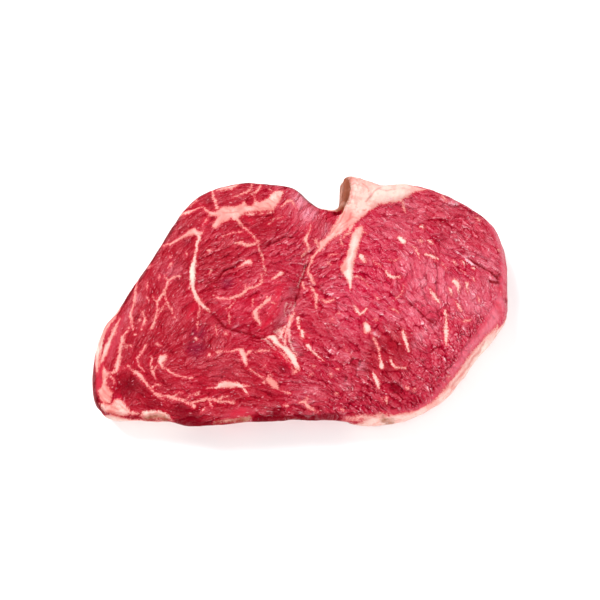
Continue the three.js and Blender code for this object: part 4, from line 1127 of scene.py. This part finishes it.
    # the lean, one coat of colour over the other: the dark coat is painted shade, the sheen coat a painted highlight,
    # and the crack's crimson painted shade in the crevice
    vividness = add("Math", PRODUCT, 0, i0=field["vivid"], i1=0.8)
    painted_sheen = add("Math", PRODUCT, 0, i0=field["sheen"], i1=shown["wet thread"])
    lean = add("Mix", COLOUR, 2, i0=field["deep"], i6=eye_red, i7=tail_red)
    for share, coat in ((vividness, vivid_red), (shown["dark"], "#5C000C"), (shown["pale"], "#C06878"),
                        (shown["purple"], "#6A0E2C"), (painted_sheen, "#D48C9A"), (shown["crack"], "#70000C"),
                        (shown["skin"], skin), (shown["flush"], "#B4142C"), (shown["red beside fat"], "#A81028")):
        lean = add("Mix", COLOUR, 2, i0=share, i6=lean, i7=coat)

    # the fat, in the same way
    thick = add("Math", SUM, 0, i0=any_fat, i1=shown["white"])
    depth = add("MapRange", {}, "Result", Value=thick, From_Max=2.4)
    rosy = add("MapRange", {}, "Result", Value=shown["white"], To_Min=shown["rosy"], To_Max=0)
    tan = add("Mix", COLOUR, 2, i0=shown["light tan"], i6="#7A3C26", i7="#9C6A5A")
    fat = add("ValToRGB", {"stops": FAT_TONES}, 0, Fac=depth)
    for share, coat in ((rosy, "#C47E76"), (shown["warm fat"], "#C4706A"), (shown["pale fat"], "#D2C0B4"),
                        (shown["fold"], "#B04844"), (shown["tan"], tan)):
        fat = add("Mix", COLOUR, 2, i0=share, i6=fat, i7=coat)

    # both, and over them thin silvery skin in strands, and flecks and specks of fat in the grain
    off_fat = add("MapRange", {}, "Result", Value=shown["fat"], To_Min=1, To_Max=0)
    in_speck = add("Math", PRODUCT, 0, i0=add("Math", PRODUCT, 0, i0=shown["speck"], i1=has_speck), i1=off_fat)
    colour = add("Mix", COLOUR, 2, i0=shown["fat"], i6=lean, i7=fat)
    for share, coat in ((shown["strand"], "#CC9A96"), (shown["fleck"], "#C88C90"), (in_speck, "#C8828E")):
        colour = add("Mix", COLOUR, 2, i0=share, i6=colour, i7=coat)

    # The juice stands on the crests, so the gaps between the bundles give no glint.
    gloss = add("MapRange", SOFT, "Result", Value=tone, From_Min=0.35, From_Max=0.7, To_Min=0.02, To_Max=0.24)
    dull = add("Math", LARGER, 0, i0=shown["crack"], i1=shown["dark"])
    gloss = add("MapRange", {}, "Result", Value=dull, To_Min=gloss, To_Max=0)
    relief = add("Mix", {"data_type": "FLOAT"}, 0, i0=shown["fat"], i2=small, i3=shown["waxy"])
    bump = add("Bump", {}, "Normal", Strength=0.7, Distance=0.4 * MM, Height=relief)
    for socket, value in (("Base Color", colour), ("Roughness", shown["rough"]), ("Specular IOR Level", gloss),
                          ("Normal", bump)):
        meat.node_tree.links.new(value, shader.inputs[socket])
    for socket, value in (("IOR", 1.33), ("Subsurface Weight", 0.15), ("Subsurface Radius", (1.0, 0.3, 0.2)),
                          ("Subsurface Scale", 1.5 * MM)):
        shader.inputs[socket].default_value = value
    return meat


mesh.materials.append(raw_beef())
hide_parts("steak")
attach(slab, ROOT)

# ---- Floor and light ----------------------------------------------------------------------------------

SKY_STRENGTH = 0.66

bpy.ops.object.select_all(action="DESELECT")
bpy.ops.mesh.primitive_plane_add(size=6)
floor = bpy.context.object
floor.name = "floor"
paper = bpy.data.materials.new("white paper")  # matt, so that it mirrors neither the lamps nor the steak
paper.use_nodes = True
paper.node_tree.nodes["Principled BSDF"].inputs["Base Color"].default_value = linear("#F4F4F4")
paper.node_tree.nodes["Principled BSDF"].inputs["Roughness"].default_value = 0.9
floor.data.materials.append(paper)


def softbox(name, at, size, power):
    lamp = bpy.data.lights.new(name, "AREA")
    lamp.size = size
    lamp.energy = power
    light = bpy.data.objects.new(name, lamp)
    bpy.context.scene.collection.objects.link(light)
    light.location = at
    light.rotation_mode = "QUATERNION"
    light.rotation_quaternion = Vector(at).to_track_quat("Z", "Y")


softbox("key", at=(-1.2, 1.2, 1.7), size=0.9, power=76)
softbox("fill", at=(0.6, -1.0, 0.8), size=0.9, power=17)
world = bpy.data.worlds.new("studio")
bpy.context.scene.world = world
world.use_nodes = True
world.node_tree.nodes["Background"].inputs["Color"].default_value = (1, 1, 1, 1)
world.node_tree.nodes["Background"].inputs["Strength"].default_value = SKY_STRENGTH
bpy.context.scene.view_settings.view_transform = "Standard"
